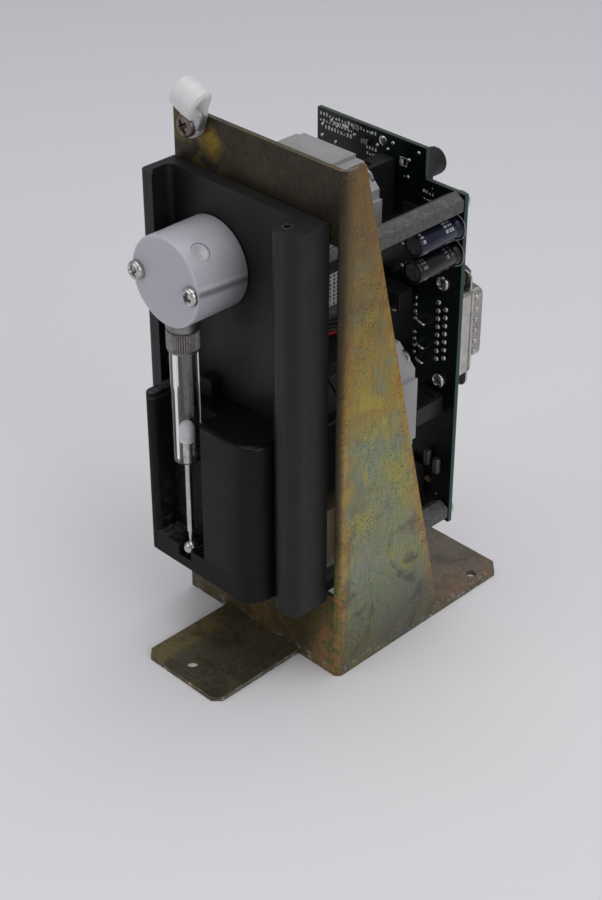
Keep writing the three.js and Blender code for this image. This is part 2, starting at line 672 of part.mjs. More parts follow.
// The plug's bent passage joins the syringe, below, to the port at 45 degrees.
const plugBody = rodY(PLUG.radius, PLUG.front, PLUG.back, VALVE.x, VALVE.z)
  .subtract(spoke(-90, PORT.passage, -PORT.passage, PLUG.radius + OVER, 12))
  .subtract(spoke(PORT.angles[0], PORT.passage, -PORT.passage, PLUG.radius + OVER, 12));
add('valve_plug', plugBody, 'ptfe');

// The disc on the valve motor's rear shaft end passes through the slot of the sensor on the board.
const flagDisc = rodY(FLAG_DISC.radius, FLAG_DISC.front, FLAG_DISC.back, VALVE.x, VALVE.z, 40);
const flagHub = rodY(ROTOR.shaft + 1.2, MOTOR.back + 1, FLAG_DISC.back, VALVE.x, VALVE.z, 24);
const flagBore = rodY(ROTOR.shaft + 0.1, MOTOR.back, FLAG_DISC.front, VALVE.x, VALVE.z, 24);
add('valve_flag_disc', flagDisc.add(flagHub).subtract(flagBore), 'blackMoulding');

function sensorBody() {
  const { left, right, front, bottom, top } = SENSOR;
  const slotRight = right - SENSOR_SLOT.web;
  const slot = box(left - OVER, slotRight, SENSOR_SLOT.front, SENSOR_SLOT.back, bottom - OVER, top + OVER);
  return box(left, right, front, BOARD_Y.front - GAP, bottom, top).subtract(slot);
}
add('valve_position_sensor', sensorBody(), 'connectorPlastic');

const lower = LOWER_BLOCK;
const lowerBlock = box(lower.left, lower.right, lower.front, lower.back, lower.bottom, lower.top);
add('lower_mount_block', lowerBlock, 'bareAluminium');

// ---------------------------------------------------------------- control board

function boardBody() {
  const edge = outline([
    [BOARD.left, BOARD.bottom],
    [BOARD.right, BOARD.bottom],
    [BOARD.right, BOARD.shoulder],
    [BOARD.tabRight, BOARD.shoulder],
    [BOARD.tabRight, BOARD.top],
    [BOARD.left, BOARD.top],
  ]);
  let body = prismY(edge, BOARD_Y.front, BOARD_Y.back);
  for (const { x, z } of STANDOFFS) {
    body = body.subtract(rodY(M3_HOLE_RADIUS, BOARD_Y.front - OVER, BOARD_Y.back + OVER, x, z, 16));
  }
  return body;
}
add('circuit_board', boardBody(), 'boardGreen');

for (const { name, x, z, front } of STANDOFFS) {
  const circumradius = STANDOFF_ACROSS_FLATS / Math.sqrt(3);
  add(`standoff_${name}`, rodY(circumradius, front, BOARD_Y.front - GAP, x, z, 6), 'bareAluminium');
  const screw = panScrew('m3', BOARD_Y.back + GAP, 1.8, true)(x, z);
  add(`board_screw_${name}`, screw, 'steel');
}

for (const [label, drop, finish] of [['upper', 0, 'sleeveNavy'], ['lower', 1, 'sleeveBlack']]) {
  const z = CAPACITOR.upperZ - drop * CAPACITOR.spacing;
  const { x, radius, front } = CAPACITOR;
  const body = turnedY(
    [
      [0, front],
      [radius - 0.5, front],
      [radius, front + 0.5],
      [radius, BOARD_Y.front - GAP],
      [0, BOARD_Y.front - GAP],
    ],
    x,
    z,
    32,
  );
  add(`capacitor_${label}`, body, finish);
}

const boardParts = [
  ['terminal_block', -17, -10.6, 44, 66.2, 72.3, 'connectorPlastic'],
  ['processor_chip', -47, -30, 52.2, 62, 79, 'connectorPlastic'],
  ['driver_chip', -56, -48, 52.6, 34, 52, 'connectorPlastic'],
  ['valve_motor_header', -35.5, -24.5, 50, 98.6, 104.4, 'connectorPlastic'],
  ['drive_motor_header', -49.5, -38.5, 50, 97.6, 103.4, 'connectorPlastic'],
];
for (const [name, x0, x1, front, z0, z1, finish] of boardParts) {
  add(name, box(x0, x1, front, BOARD_Y.front - GAP, z0, z1), finish);
}

// Four insulated leads side by side, taken as one flat strip from a motor to its header.
function leadStrip(points) {
  const route = new THREE.CatmullRomCurve3(points.map(([x, y, z]) => new THREE.Vector3(x, y, z)));
  const section = roundedRectangle(-0.65, 0.65, -2.6, 2.6, 0.3);
  return solid(new THREE.ExtrudeGeometry(section, { extrudePath: route, steps: 24, curveSegments: 1 }));
}
const valveLeadRoute = [
  [-30, 9, 106.2],
  [-30, 14, 103.4],
  [-30, 24, 100.4],
  [-30, 38, 100.3],
  [-30, 49.6, 101.5],
];
const driveLeadRoute = [
  [-44, 9, 98.5],
  [-44, 14, 100],
  [-44, 24, 100.8],
  [-44, 38, 100.8],
  [-44, 49.6, 100.5],
];
add('valve_motor_leads', leadStrip(valveLeadRoute), 'leadRed');
add('drive_motor_leads', leadStrip(driveLeadRoute), 'leadGreen');

// ---------------------------------------------------------------- connector and address switch

// The D outline: its long side is towards -X, where the row of eight contacts is.
function dOutline(grow) {
  const { halfLong, halfShort, slant, corner } = D_SHELL;
  const x0 = CONNECTOR.x - halfShort - grow;
  const x1 = CONNECTOR.x + halfShort + grow;
  const zWide = halfLong + grow;
  const zNarrow = halfLong - slant + grow;
  const z = CONNECTOR.z;
  return outline([
    [x0 + corner, z - zWide],
    [x1 - corner, z - zNarrow],
    [x1, z - zNarrow + corner],
    [x1, z + zNarrow - corner],
    [x1 - corner, z + zNarrow],
    [x0 + corner, z + zWide],
    [x0, z + zWide - corner],
    [x0, z - zWide + corner],
  ]);
}

const connectorLeft = CONNECTOR.x - CONNECTOR.width / 2;
const connectorRight = CONNECTOR.x + CONNECTOR.width / 2;
const connectorLow = CONNECTOR.z - CONNECTOR.length / 2;
const connectorHigh = CONNECTOR.z + CONNECTOR.length / 2;
const { bodyFront, flangeFront, flangeBack, shellBack } = CONNECTOR_Y;
// A can behind the flange, the flange with its two ears, and the D shell, all of one pressing.
function canOutline(inset) {
  const halfLength = CONNECTOR.canLength / 2 - inset;
  const z = CONNECTOR.z;
  return roundedRectangle(connectorLeft + inset, connectorRight - inset, z - halfLength, z + halfLength, 1);
}
const connectorBody = prismY(canOutline(D_SHELL.wall + GAP), bodyFront, flangeFront - GAP).add(
  prismY(dOutline(-D_SHELL.wall - GAP), bodyFront + 1, flangeBack + 1.2),
);
add('connector_body', connectorBody, 'connectorPlastic');

const flangeShape = roundedRectangle(connectorLeft + 1, connectorRight - 1, connectorLow, connectorHigh, 2.6);
const connectorShell = prismY(flangeShape, flangeFront, flangeBack)
  .add(prismY(canOutline(0), bodyFront, flangeBack))
  .add(prismY(dOutline(0), flangeFront, shellBack))
  .subtract(prismY(canOutline(D_SHELL.wall), bodyFront - OVER, flangeFront))
  .subtract(prismY(dOutline(-D_SHELL.wall), flangeFront - OVER, shellBack + OVER));
add('connector_shell', connectorShell, 'tinPlate');

for (const [label, side] of [['upper', 1], ['lower', -1]]) {
  const z = CONNECTOR.z + (side * CONNECTOR.screwSpacing) / 2;
  const x = CONNECTOR.x;
  const low = side > 0 ? z - 2.2 : z - 2.8;
  const section = roundedRectangle(x - 3.6, x + 3.6, low, low + 5, 1);
  const bracket = prismY(section, bodyFront, flangeFront - GAP);
  add(`connector_bracket_${label}`, bracket, 'tinPlate');
  add(`jack_post_${label}`, rodY(2.74, flangeBack + GAP, flangeBack + 3.2, x, z, 6), 'steel');
}

const { x: switchX, z: switchZ, half: switchHalf, bodyBack, knobRadius, knobBack } = SWITCH;
const switchBody = box(
  switchX - switchHalf,
  switchX + switchHalf,
  BOARD_Y.back + GAP,
  bodyBack,
  switchZ - switchHalf,
  switchZ + switchHalf,
);
add('address_switch_body', switchBody, 'connectorPlastic');
const knobSlot = box(switchX - 0.5, switchX + 0.5, knobBack - 0.9, knobBack + 1, switchZ, switchZ + 5);
const knob = turnedY(
  [
    [0, bodyBack + GAP],
    [knobRadius, bodyBack + GAP],
    [knobRadius, knobBack - 0.6],
    [knobRadius - 0.6, knobBack],
    [0, knobBack],
  ],
  switchX,
  switchZ,
  32,
).subtract(knobSlot);
add('address_switch_knob', knob, 'connectorPlastic');

export default assembly;
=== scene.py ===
import json
import math
import random

import bmesh
import bpy
from mathutils import Matrix, Vector

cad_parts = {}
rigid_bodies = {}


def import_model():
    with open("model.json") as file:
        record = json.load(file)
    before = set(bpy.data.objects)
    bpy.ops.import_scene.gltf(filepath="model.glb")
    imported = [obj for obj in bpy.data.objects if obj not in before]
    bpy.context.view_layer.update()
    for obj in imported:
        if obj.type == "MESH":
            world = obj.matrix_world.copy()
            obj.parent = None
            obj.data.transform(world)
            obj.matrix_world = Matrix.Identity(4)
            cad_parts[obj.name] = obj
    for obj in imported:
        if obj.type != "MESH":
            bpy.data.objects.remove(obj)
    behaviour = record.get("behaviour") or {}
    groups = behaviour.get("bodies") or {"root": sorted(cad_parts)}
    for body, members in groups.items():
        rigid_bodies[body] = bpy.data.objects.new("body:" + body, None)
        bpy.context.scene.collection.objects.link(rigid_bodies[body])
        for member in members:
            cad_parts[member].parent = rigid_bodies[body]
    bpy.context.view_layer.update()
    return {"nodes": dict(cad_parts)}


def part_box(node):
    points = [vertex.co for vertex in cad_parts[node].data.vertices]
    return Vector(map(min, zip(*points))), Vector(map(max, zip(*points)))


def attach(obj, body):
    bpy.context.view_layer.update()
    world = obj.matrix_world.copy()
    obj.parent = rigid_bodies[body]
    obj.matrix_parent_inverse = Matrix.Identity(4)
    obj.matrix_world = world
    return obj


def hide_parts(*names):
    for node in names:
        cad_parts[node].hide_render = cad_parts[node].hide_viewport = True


for leftover in list(bpy.data.objects):
    bpy.data.objects.remove(leftover)
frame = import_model()

# Looks of the syringe pump module. Shapes are built in millimetres in the row frame and turned into
# metres when their mesh is finished: X to the right, Y to the back, Z up.
MM = 0.001
NODES = frame["nodes"]
TAU = 2 * math.pi
rng = random.Random(7)


class Box:
    """A CAD node's box in millimetres."""

    def __init__(self, node):
        low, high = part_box(node)
        self.low = low / MM
        self.high = high / MM
        self.mid = (self.low + self.high) / 2
        self.size = self.high - self.low


BRACKET = Box("mounting_bracket")
BOARD = Box("circuit_board")
FRAME = Box("front_frame")
VALVE = Box("valve_body")
NUT = Box("syringe_nut")
BARREL = Box("syringe_barrel")
CARRIAGE = Box("carriage")
SHELL = Box("connector_shell")
CAPACITOR = Box("capacitor_upper")
CAPACITORS = ("capacitor_upper", "capacitor_lower")
CLIP_HOLE = Box("cable_clip_screw").mid
SYRINGE_X = BARREL.mid.x
TONGUE_X = BRACKET.low.x + 24.5
PLATE_Y = BRACKET.low.y + 34.6
GUSSET_TOP, GUSSET_FOOT = 8.1, 46.2
RAIL_TAP = (FRAME.high.x - 6.7, FRAME.high.y - 9.1, FRAME.high.z)
VALVE_SCREW_OFFSET = 11.1
PORT_CENTRE = (VALVE.mid.x, NUT.mid.y, VALVE.mid.z)
PORT_SLANT = math.radians(40)
CASE_SCREW_OFFSET = 15.5
CONTACT_PITCH = 2.77
HEADER_PITCH = 2.54


# ------------------------------------------------------------------ materials

LOOKS = {}


class Look:
    """A node material under construction. Its x, y and z are the row frame's, in millimetres."""

    def __init__(self, name, color=(0.5, 0.5, 0.5), roughness=0.5, metallic=0.0, **sockets):
        self.material = LOOKS[name] = bpy.data.materials.new(name + "_finish")
        self.material.use_nodes = True
        self.tree = self.material.node_tree
        self.shader = self.tree.nodes["Principled BSDF"]
        self.set(Base_Color=(*color, 1), Roughness=roughness, Metallic=metallic, **sockets)
        place = self.node("ShaderNodeTexCoord").outputs["Object"]
        scaled = self.node("ShaderNodeVectorMath", {0: place, "Scale": 1 / MM}, operation="SCALE")
        self.place = scaled.outputs[0]
        self.x, self.y, self.z = self.node("ShaderNodeSeparateXYZ", {0: self.place}).outputs

    def set(self, **sockets):
        for name, value in sockets.items():
            self.wire(self.shader.inputs[name.replace("_", " ")], value)

    def wire(self, socket, value):
        if isinstance(value, bpy.types.NodeSocket):
            self.tree.links.new(value, socket)
        else:
            socket.default_value = value

    def node(self, kind, inputs=None, **settings):
        node = self.tree.nodes.new(kind)
        for key, value in settings.items():
            setattr(node, key, value)
        for key, value in (inputs or {}).items():
            self.wire(node.inputs[key], value)
        return node

    def stretched(self, size, stretch, shift):
        scale = tuple(1 / (size * along) for along in stretch)
        inputs = {"Vector": self.place, "Location": shift, "Scale": scale}
        return self.node("ShaderNodeMapping", inputs).outputs[0]

    def noise(self, size, detail=3.0, roughness=0.55, distortion=0.0, stretch=(1, 1, 1), shift=(0, 0, 0)):
        """Clouds from 0 to 1 about `size` mm across, longer along the axes where stretch is above 1."""
        inputs = {
            "Vector": self.stretched(size, stretch, shift),
            "Scale": 1.0,
            "Detail": detail,
            "Roughness": roughness,
            "Distortion": distortion,
        }
        return self.node("ShaderNodeTexNoise", inputs).outputs[0]

    def patches(self, size, low, high, out_low=0.0, out_high=1.0, **clouds):
        """Noise with its range low..high stretched to out_low..out_high."""
        return self.between(self.noise(size, **clouds), low, high, out_low, out_high)

    def specks(self, size, radius, shift=(0, 0, 0)):
        """1 inside round specks of about `radius` times `size` mm, one in each cell of `size` mm."""
        inputs = {"Vector": self.stretched(size, (1, 1, 1), shift), "Scale": 1.0}
        distance = self.node("ShaderNodeTexVoronoi", inputs).outputs["Distance"]
        return self.between(distance, radius, radius * 0.6)

    def between(self, value, low, high, out_low=0.0, out_high=1.0):
        """Maps low..high to out_low..out_high, and holds it there outside."""
        inputs = {0: value, 1: low, 2: high, 3: out_low, 4: out_high}
        return self.node("ShaderNodeMapRange", inputs, clamp=True).outputs[0]

    def math(self, operation, first, second=0.0):
        return self.node("ShaderNodeMath", {0: first, 1: second}, operation=operation).outputs[0]

    def times(self, first, *others):
        for other in others:
            first = self.math("MULTIPLY", first, other)
        return first

    def plus(self, first, second):
        return self.math("ADD", first, second)

    def minus(self, first, second):
        return self.math("SUBTRACT", first, second)

    def most(self, first, second):
        return self.math("MAXIMUM", first, second)

    def size(self, value):
        return self.math("ABSOLUTE", value)

    def stripes(self, value, count):
        """A wave from 0 to 0.5 and back, `count` ramps to the millimetre."""
        return self.math("PINGPONG", self.times(value, count), 0.5)

    def mix(self, share, low, high):
        ends = [(*end, 1) if isinstance(end, tuple) else end for end in (low, high)]
        inputs = {0: share, 6: ends[0], 7: ends[1]}
        return self.node("ShaderNodeMix", inputs, data_type="RGBA").outputs[2]

    def layers(self, color, *layers):
        """The colour with each (share, colour, strength) laid over it in turn."""
        for share, layer, strength in layers:
            color = self.mix(self.times(share, strength), color, layer)
        return color

    def paint(self, *layers):
        """Lays the layers over the look's own colour."""
        self.color = self.layers(self.color, *layers)
        self.set(Base_Color=self.color)

    def facing(self, axis):
        """How squarely the surface faces along the axis, from 0 to 1, whichever way."""
        normal = self.node("ShaderNodeNewGeometry").outputs["Normal"]
        return self.size(self.node("ShaderNodeSeparateXYZ", {0: normal}).outputs[axis])

    def bump(self, height, depth):
        """Raises the surface by `height`, from 0 to 1, times `depth` mm."""
        raised = self.node("ShaderNodeBump", {"Height": height, "Distance": depth * MM, "Strength": 1.0})
        self.set(Normal=raised.outputs[0])


def tone(color, factor):
    return tuple(min(1.0, part * factor) for part in color)


def surface(name, color, roughness, metallic=0.0, cloud=7.0, grain=0.5, depth=0.012, drift=0.15,
            stretch=(1, 1, 1), **sockets):
    """A finish whose colour and gloss drift a little, with a fine grain in its surface."""
    look = Look(name, roughness=roughness, metallic=metallic, **sockets)
    look.clouds = look.noise(cloud, detail=4, distortion=0.4)
    fine = look.noise(grain, detail=2, stretch=stretch)
    look.color = look.mix(look.between(look.clouds, 0.3, 0.7), tone(color, 1 - drift), tone(color, 1 + drift))
    look.paint()
    look.set(Roughness=look.between(fine, 0.3, 0.7, roughness * 0.85, min(1.0, roughness * 1.18)))
    look.bump(fine, depth)
    return look


def gusset_color(look, wander, clouds, broad):
    """The side: green below, gold above, orange along its edges, brown at the top and by the bend."""
    depth = look.between(look.z, 0, BRACKET.high.z, GUSSET_FOOT, GUSSET_TOP)
    along = look.minus(look.y, PLATE_Y)
    from_bend = look.plus(look.minus(BRACKET.high.x, look.x), look.size(along))
    from_back = look.size(look.minus(depth, along))
    nearest = look.math("MINIMUM", from_bend, look.plus(from_back, 0.5))
    edge = look.between(look.plus(nearest, wander), 0.5, 5.5, 1.0, 0.0)
    gold = look.mix(look.between(clouds, 0.38, 0.62), (0.29, 0.235, 0.075), (0.45, 0.30, 0.05))
    green = look.mix(look.between(clouds, 0.4, 0.6), (0.27, 0.315, 0.205), (0.37, 0.37, 0.14))
    height = look.plus(look.between(look.z, 20, 150), look.between(broad, 0.3, 0.7, -0.35, 0.35))
    teal = look.patches(8, 0.56, 0.66, detail=3, distortion=1.5, shift=(1, 8, 4))
    sunny = look.patches(10, 0.50, 0.62, detail=4, distortion=0.8, shift=(8, 8, 8))
    sunny = look.times(sunny, look.between(look.z, 35, 60), look.between(look.z, 150, 115))
    grey = look.times(look.patches(19, 0.48, 0.62, detail=4, shift=(6, 3, 1)), look.between(look.z, 85, 30))
    violet = look.patches(13, 0.54, 0.64, detail=4, distortion=1.2, shift=(5, 5, 2))
    rose = look.patches(4, 0.45, 0.62, detail=4, distortion=1.0, shift=(9, 2, 2))
    near_bend = look.times(look.between(along, 5.0, 0.5), look.between(look.z, 80, 125))
    return look.layers(
        green,
        (look.between(height, 0.42, 0.85), gold, 1),
        (teal, (0.20, 0.31, 0.215), 0.6),
        (sunny, (0.50, 0.42, 0.07), 0.6),
        (grey, (0.27, 0.275, 0.245), 0.7),
        (violet, (0.085, 0.08, 0.083), look.between(look.z, 70, 15, 0.25, 0.8)),
        (edge, look.mix(rose, (0.52, 0.33, 0.03), (0.42, 0.13, 0.05)), 0.85),
        (look.between(look.z, 95, 150), (0.150, 0.083, 0.036), 0.7),
        (near_bend, (0.055, 0.037, 0.022), 0.9),
        (look.between(look.z, 34, 8), (0.085, 0.078, 0.058), 0.68),
    )


def strip_color(look, wander):
    """The upright plate: dark brown, with a stain by the clip and vivid patches low on the right."""
    patch = look.patches(6.5, 0.47, 0.62, detail=4, distortion=0.8, shift=(4, 4, 4))
    bright = look.mix(look.noise(3.0, detail=3, distortion=1.0), (0.16, 0.10, 0.012), (0.06, 0.10, 0.035))
    mottle = look.patches(2.2, 0.35, 0.65, detail=5, roughness=0.7, shift=(3, 9, 3))
    clip_x = look.size(look.minus(look.x, CLIP_HOLE.x + 6.0))
    clip_z = look.size(look.minus(look.z, CLIP_HOLE.z - 4.5))
    stained = look.between(look.plus(look.plus(clip_x, clip_z), wander), 7.5, 3.5)
    stain = look.mix(look.noise(3.5, detail=3, distortion=1.0), (0.50, 0.23, 0.006), (0.13, 0.15, 0.022))
    vivid = look.patches(5, 0.42, 0.58, detail=4, distortion=1.0, shift=(9, 1, 1))
    corner = look.times(look.between(look.x, 20, 27), look.between(look.z, 48, 34))
    return look.layers(
        look.mix(mottle, (0.020, 0.0165, 0.012), (0.034, 0.024, 0.0135)),
        (patch, bright, look.between(look.x, -8, -24, 0.12, 1.0)),
        (stained, stain, 1),
        (look.between(look.z, 30, 12), look.mix(patch, (0.10, 0.075, 0.03), (0.22, 0.13, 0.04)), 1),
        (corner, look.mix(vivid, (0.14, 0.17, 0.03), (0.42, 0.19, 0.06)), 0.75),
    )


def base_color(look, wander, clouds, broad):
    """The base: dull brown at the back, olive in front, golden at the tongue's left, rusty on the right."""
    rear = look.mix(look.between(broad, 0.4, 0.6), (0.165, 0.15, 0.14), (0.24, 0.19, 0.15))
    speckle = look.patches(0.8, 0.35, 0.65, detail=4, roughness=0.75)
    olive = look.mix(speckle, (0.085, 0.078, 0.053), (0.18, 0.165, 0.115))
    outer = look.plus(look.minus(look.x, TONGUE_X), look.times(wander, 0.8))
    golden = look.times(look.between(outer, 1.0, -1.5), look.between(look.y, -26, -32))
    stain = look.patches(9, 0.5, 0.6, detail=5, roughness=0.65, distortion=0.6, shift=(2, 2, 2))
    rusty = look.times(look.between(look.x, 20, 32), look.patches(8, 0.42, 0.6, detail=4, shift=(1, 7, 1)))
    return look.layers(
        look.mix(look.between(clouds, 0.42, 0.6), (0.15, 0.115, 0.05), (0.23, 0.17, 0.07)),
        (look.between(look.y, -20, 5), rear, 1),
        (look.between(look.y, -14, -22), olive, 0.85),
        (golden, look.mix(clouds, (0.20, 0.165, 0.06), (0.33, 0.25, 0.10)), 0.85),
        (stain, (0.04, 0.036, 0.028), look.between(look.y, 20, -25, 0.35, 0.5)),
        (rusty, (0.34, 0.17, 0.07), 0.5),
    )


def chromate():
    """Yellow chromate on zinc: gold, green and rose clouds, orange bends, dark pits, white wear."""
    look = Look("zinc_plate", metallic=0.65)
    wander = look.patches(7, 0.25, 0.75, -2.0, 2.5, detail=4, distortion=0.8)
    clouds = look.noise(13, detail=5, roughness=0.6, distortion=0.9)
    broad = look.noise(38, detail=3, distortion=0.5, shift=(3, 1, 7))
    front = look.between(look.facing(1), 0.25, 0.85)
    flat = look.between(look.facing(2), 0.6, 0.9)
    streaks = look.patches(0.9, 0.4, 0.65, detail=2, stretch=(1, 1, 7))
    grit = look.noise(0.55, detail=2, roughness=0.7)
    pits = look.most(look.specks(0.8, 0.34), look.specks(1.6, 0.22, shift=(3, 5, 1)))
    pits = look.times(pits, look.patches(13, 0.40, 0.60, detail=3, shift=(2, 4, 9)))
    rim = look.most(look.times(look.between(look.z, 5, 0.5), look.between(flat, 0.5, 0)),
                    look.times(flat, look.between(look.x, 29.5, 32.5)))
    worn = look.times(look.patches(2.2, 0.55, 0.62, detail=5, roughness=0.7), rim)
    rubbed = look.patches(4.5, 0.62, 0.70, detail=5, roughness=0.75, shift=(7, 7, 7))
    look.color = gusset_color(look, wander, clouds, broad)
    look.paint(
        (front, strip_color(look, wander), 0.95),
        (flat, base_color(look, wander, clouds, broad), 0.95),
        (streaks, (0.07, 0.06, 0.04), 0.22),
        (look.between(grit, 0.35, 0.7), (0.08, 0.07, 0.045), 0.32),
        (pits, (0.02, 0.018, 0.013), 0.8),
        (worn, (0.42, 0.42, 0.43), 0.8),
        (rubbed, (0.32, 0.31, 0.28), look.between(flat, 0, 1, 0.2, 0.06)),
    )
    look.set(Roughness=look.between(clouds, 0.3, 0.7, 0.36, 0.52))
    look.bump(look.minus(look.times(grit, 0.5), pits), 0.03)


def anodised():
    """Black anodised extrusion: fine lines along its length, pale nicks and dust, and upward faces paler,
    partly a dust film and partly painted light from above.
    """
    look = surface("black_anodised", (0.0105, 0.0105, 0.0108), 0.42, grain=0.35, depth=0.006, drift=0.12,
                   stretch=(1, 1, 40), Specular_IOR_Level=0.28)
    nicks = look.specks(11.0, 0.028, shift=(2, 3, 5))
    dust = look.times(look.specks(1.6, 0.12), look.patches(12, 0.5, 0.7, 0, 0.35))
    upward = look.between(look.facing(2), 0.5, 0.9)
    # Upward faces are paler: partly a dust film, partly painted light from above.
    film = look.times(upward, look.between(look.clouds, 0.3, 0.7, 0.4, 1))
    look.paint((film, (0.021, 0.020, 0.019), 1), (look.most(nicks, dust), (0.30, 0.30, 0.31), 1))


def moulding():
    """Glossy black moulding with faint rubs, dust low down in the channel and on its ledges, and a painted
    highlight line under the arm's cap.
    """
    look = surface("black_moulding", (0.0056, 0.0056, 0.0060), 0.3, grain=0.9, depth=0.006, drift=0.2,
                   Specular_IOR_Level=0.19)
    smears = look.patches(2.6, 0.52, 0.68, detail=5, roughness=0.7, distortion=1.0)
    inside = look.times(look.between(look.y, CARRIAGE.low.y + 0.2, CARRIAGE.low.y + 2.0),
                        look.between(look.x, SYRINGE_X + 7, SYRINGE_X + 4))
    dusty = look.times(smears, look.between(look.z, 62, 36, 0.0, 0.8), inside)
    cap = look.times(look.between(look.facing(2), 0.3, 0.8), look.between(look.x, -15, -22))
    film = look.times(look.patches(1.5, 0.35, 0.65, detail=4, distortion=1.0), cap)
    dust = look.most(look.most(dusty, film), look.specks(6.5, 0.035))
    # Painted highlight: a thin pale line where light would catch a groove's edge under the arm's cap.
    groove_highlight = look.between(look.size(look.minus(look.z, CARRIAGE.high.z - 2.1)), 0.20, 0.10)
    groove_highlight = look.times(groove_highlight, look.between(look.x, SYRINGE_X - 6, SYRINGE_X - 8))
    look.paint((dust, (0.26, 0.26, 0.275), 0.36), (groove_highlight, (0.12, 0.12, 0.12), 0.5))
    sides = look.between(look.facing(2), 0.40, 0.10, 0.22, 0.60)
    look.set(Roughness=look.most(sides, look.times(cap, 0.45)))


def milky():
    """Milky machined plastic that light soaks into. Near its right side a soft dark line of painted shade
    stands for a screw's shank seen through it, with a paler line beside it.
    """
    look = surface("milky_plastic", (0.47, 0.47, 0.515), 0.34, cloud=14, grain=3.5, depth=0.0, drift=0.025,
                   Subsurface_Weight=0.35, Subsurface_Scale=1.0, Subsurface_Radius=(0.003, 0.003, 0.0033))
    sink = look.times(look.minus(look.y, VALVE.low.y), 0.07)
    offset = look.plus(look.minus(look.z, VALVE.mid.z + 0.6), sink)
    # Painted shade: a soft dark line where the screw's shank lies inside the plastic.
    dark = look.between(look.size(offset), 1.5, 0.3)
    pale = look.between(look.size(look.minus(offset, 1.7)), 1.0, 0.2)
    side = look.times(look.between(look.x, VALVE.mid.x + 12.2, VALVE.mid.x + 13.2),
                      look.between(look.y, VALVE.low.y, VALVE.low.y + 1.5))
    look.paint((look.times(dark, side), (0.13, 0.13, 0.15), 0.75),
               (look.times(pale, side), (0.75, 0.75, 0.8), 0.35))


def turned_steel(name, color=(0.55, 0.545, 0.53), roughness=0.26, stretch=(1, 1, 0.15)):
    """Turned steel: rings round its axis, a little stain."""
    look = surface(name, color, roughness, metallic=1.0, cloud=3, grain=0.6, depth=0.01, drift=0.2,
                   stretch=stretch)
    look.paint((look.patches(1.4, 0.56, 0.7, detail=4), tone(color, 0.35), 0.6))


def glass():
    look = Look("clear_glass", color=(1.0, 1.0, 1.0), roughness=0.02, Transmission_Weight=1.0, IOR=1.49)
    look.set(Roughness=look.patches(4, 0.45, 0.75, 0.015, 0.07, detail=4))


def laminations():
    """Black painted steel sheets, stacked along Y."""
    look = surface("motor_stack", (0.014, 0.014, 0.016), 0.42, metallic=0.2, cloud=9, drift=0.25)
    look.bump(look.stripes(look.y, 2.0), 0.05)


def solder_mask():
    """Dark green solder mask over copper tracks, with the laminate's green at the cut edges."""
    look = Look("board_green", roughness=0.3, Specular_IOR_Level=0.3)
    areas = look.patches(16, 0.48, 0.5, detail=0, shift=(1, 2, 3))
    tracks = look.mix(areas, look.stripes(look.x, 0.9), look.stripes(look.plus(look.x, look.z), 0.7))
    fill = look.patches(21, 0.5, 0.505, detail=0, shift=(6, 2, 9))
    copper = look.most(look.times(look.between(tracks, 0.2, 0.28), 0.6), fill)
    grain = look.noise(0.5, detail=3, stretch=(8, 0.4, 8))
    edge = look.layers(
        look.mix(grain, (0.004, 0.035, 0.02), (0.012, 0.05, 0.03)),
        (look.between(look.facing(2), 0.5, 0.8), (0.06, 0.07, 0.05), 0.6),
    )
    look.color = look.mix(copper, (0.0012, 0.0022, 0.0022), (0.0022, 0.0065, 0.0055))
    look.paint((look.between(look.facing(1), 0.7, 0.5), edge, 1))
    look.bump(copper, 0.03)


def milled_block_painted_reflection():
    """Milled aluminium with upright tool marks, given painted light: a bright warm colour and upright yellow
    streaks paint the yellow sheet's reflection on it, though it stands in shade.
    """
    look = surface("milled_block_painted_reflection", (0.92, 0.89, 0.77), 0.42, metallic=0.1, grain=0.5, depth=0.01, drift=0.1,
                   stretch=(1, 1, 30))
    # Painted reflection: upright yellow streaks for the yellow sheet beside it.
    look.paint((look.patches(1.1, 0.35, 0.65, detail=2, stretch=(1, 1, 40)), (0.92, 0.70, 0.30), 1))


def label_print():
    """A pale label with rows of dark blocks that say nothing."""
    look = surface("label", (0.40, 0.40, 0.40), 0.5, drift=0.05)
    row = look.between(look.stripes(look.z, 0.8), 0.12, 0.16)
    bars = look.noise(0.6, detail=0, stretch=(40, 1, 40))
    broken = look.noise(2.4, detail=0, stretch=(1, 8, 1))
    inked = look.between(look.plus(bars, look.times(broken, 0.6)), 0.78, 0.80)
    look.paint((inked, (0.03, 0.03, 0.035), row))


def sleeve(name, color, band):
    """A capacitor's plastic sleeve with rows of broken pale marks on its upper right side."""
    look = surface(name, color, 0.25, drift=0.2, Specular_IOR_Level=0.4)
    marks = look.patches(0.7, 0.50, 0.53, detail=0, stretch=(30, 1, 30))
    rows = look.between(look.stripes(look.x, 1.0), 0.2, 0.26)
    right = look.between(look.x, CAPACITOR.mid.x + 0.2, CAPACITOR.mid.x + 0.6)
    along = look.patches(4.5, 0.42, 0.46, detail=0, shift=(2, 0, 0), stretch=(9, 1, 9))
    look.paint((look.times(marks, rows, right), band, along))


def paper():
    """The studio's paper floor, with painted shade greying it towards its far end."""
    look = surface("floor", (0.80, 0.79, 0.81), 0.6, cloud=400, grain=3, depth=0.02, drift=0.012)
    # Painted shade: greyer towards the far end.
    look.paint((look.between(look.minus(look.y, look.x), 80, 900), (0.66, 0.655, 0.70), 1))


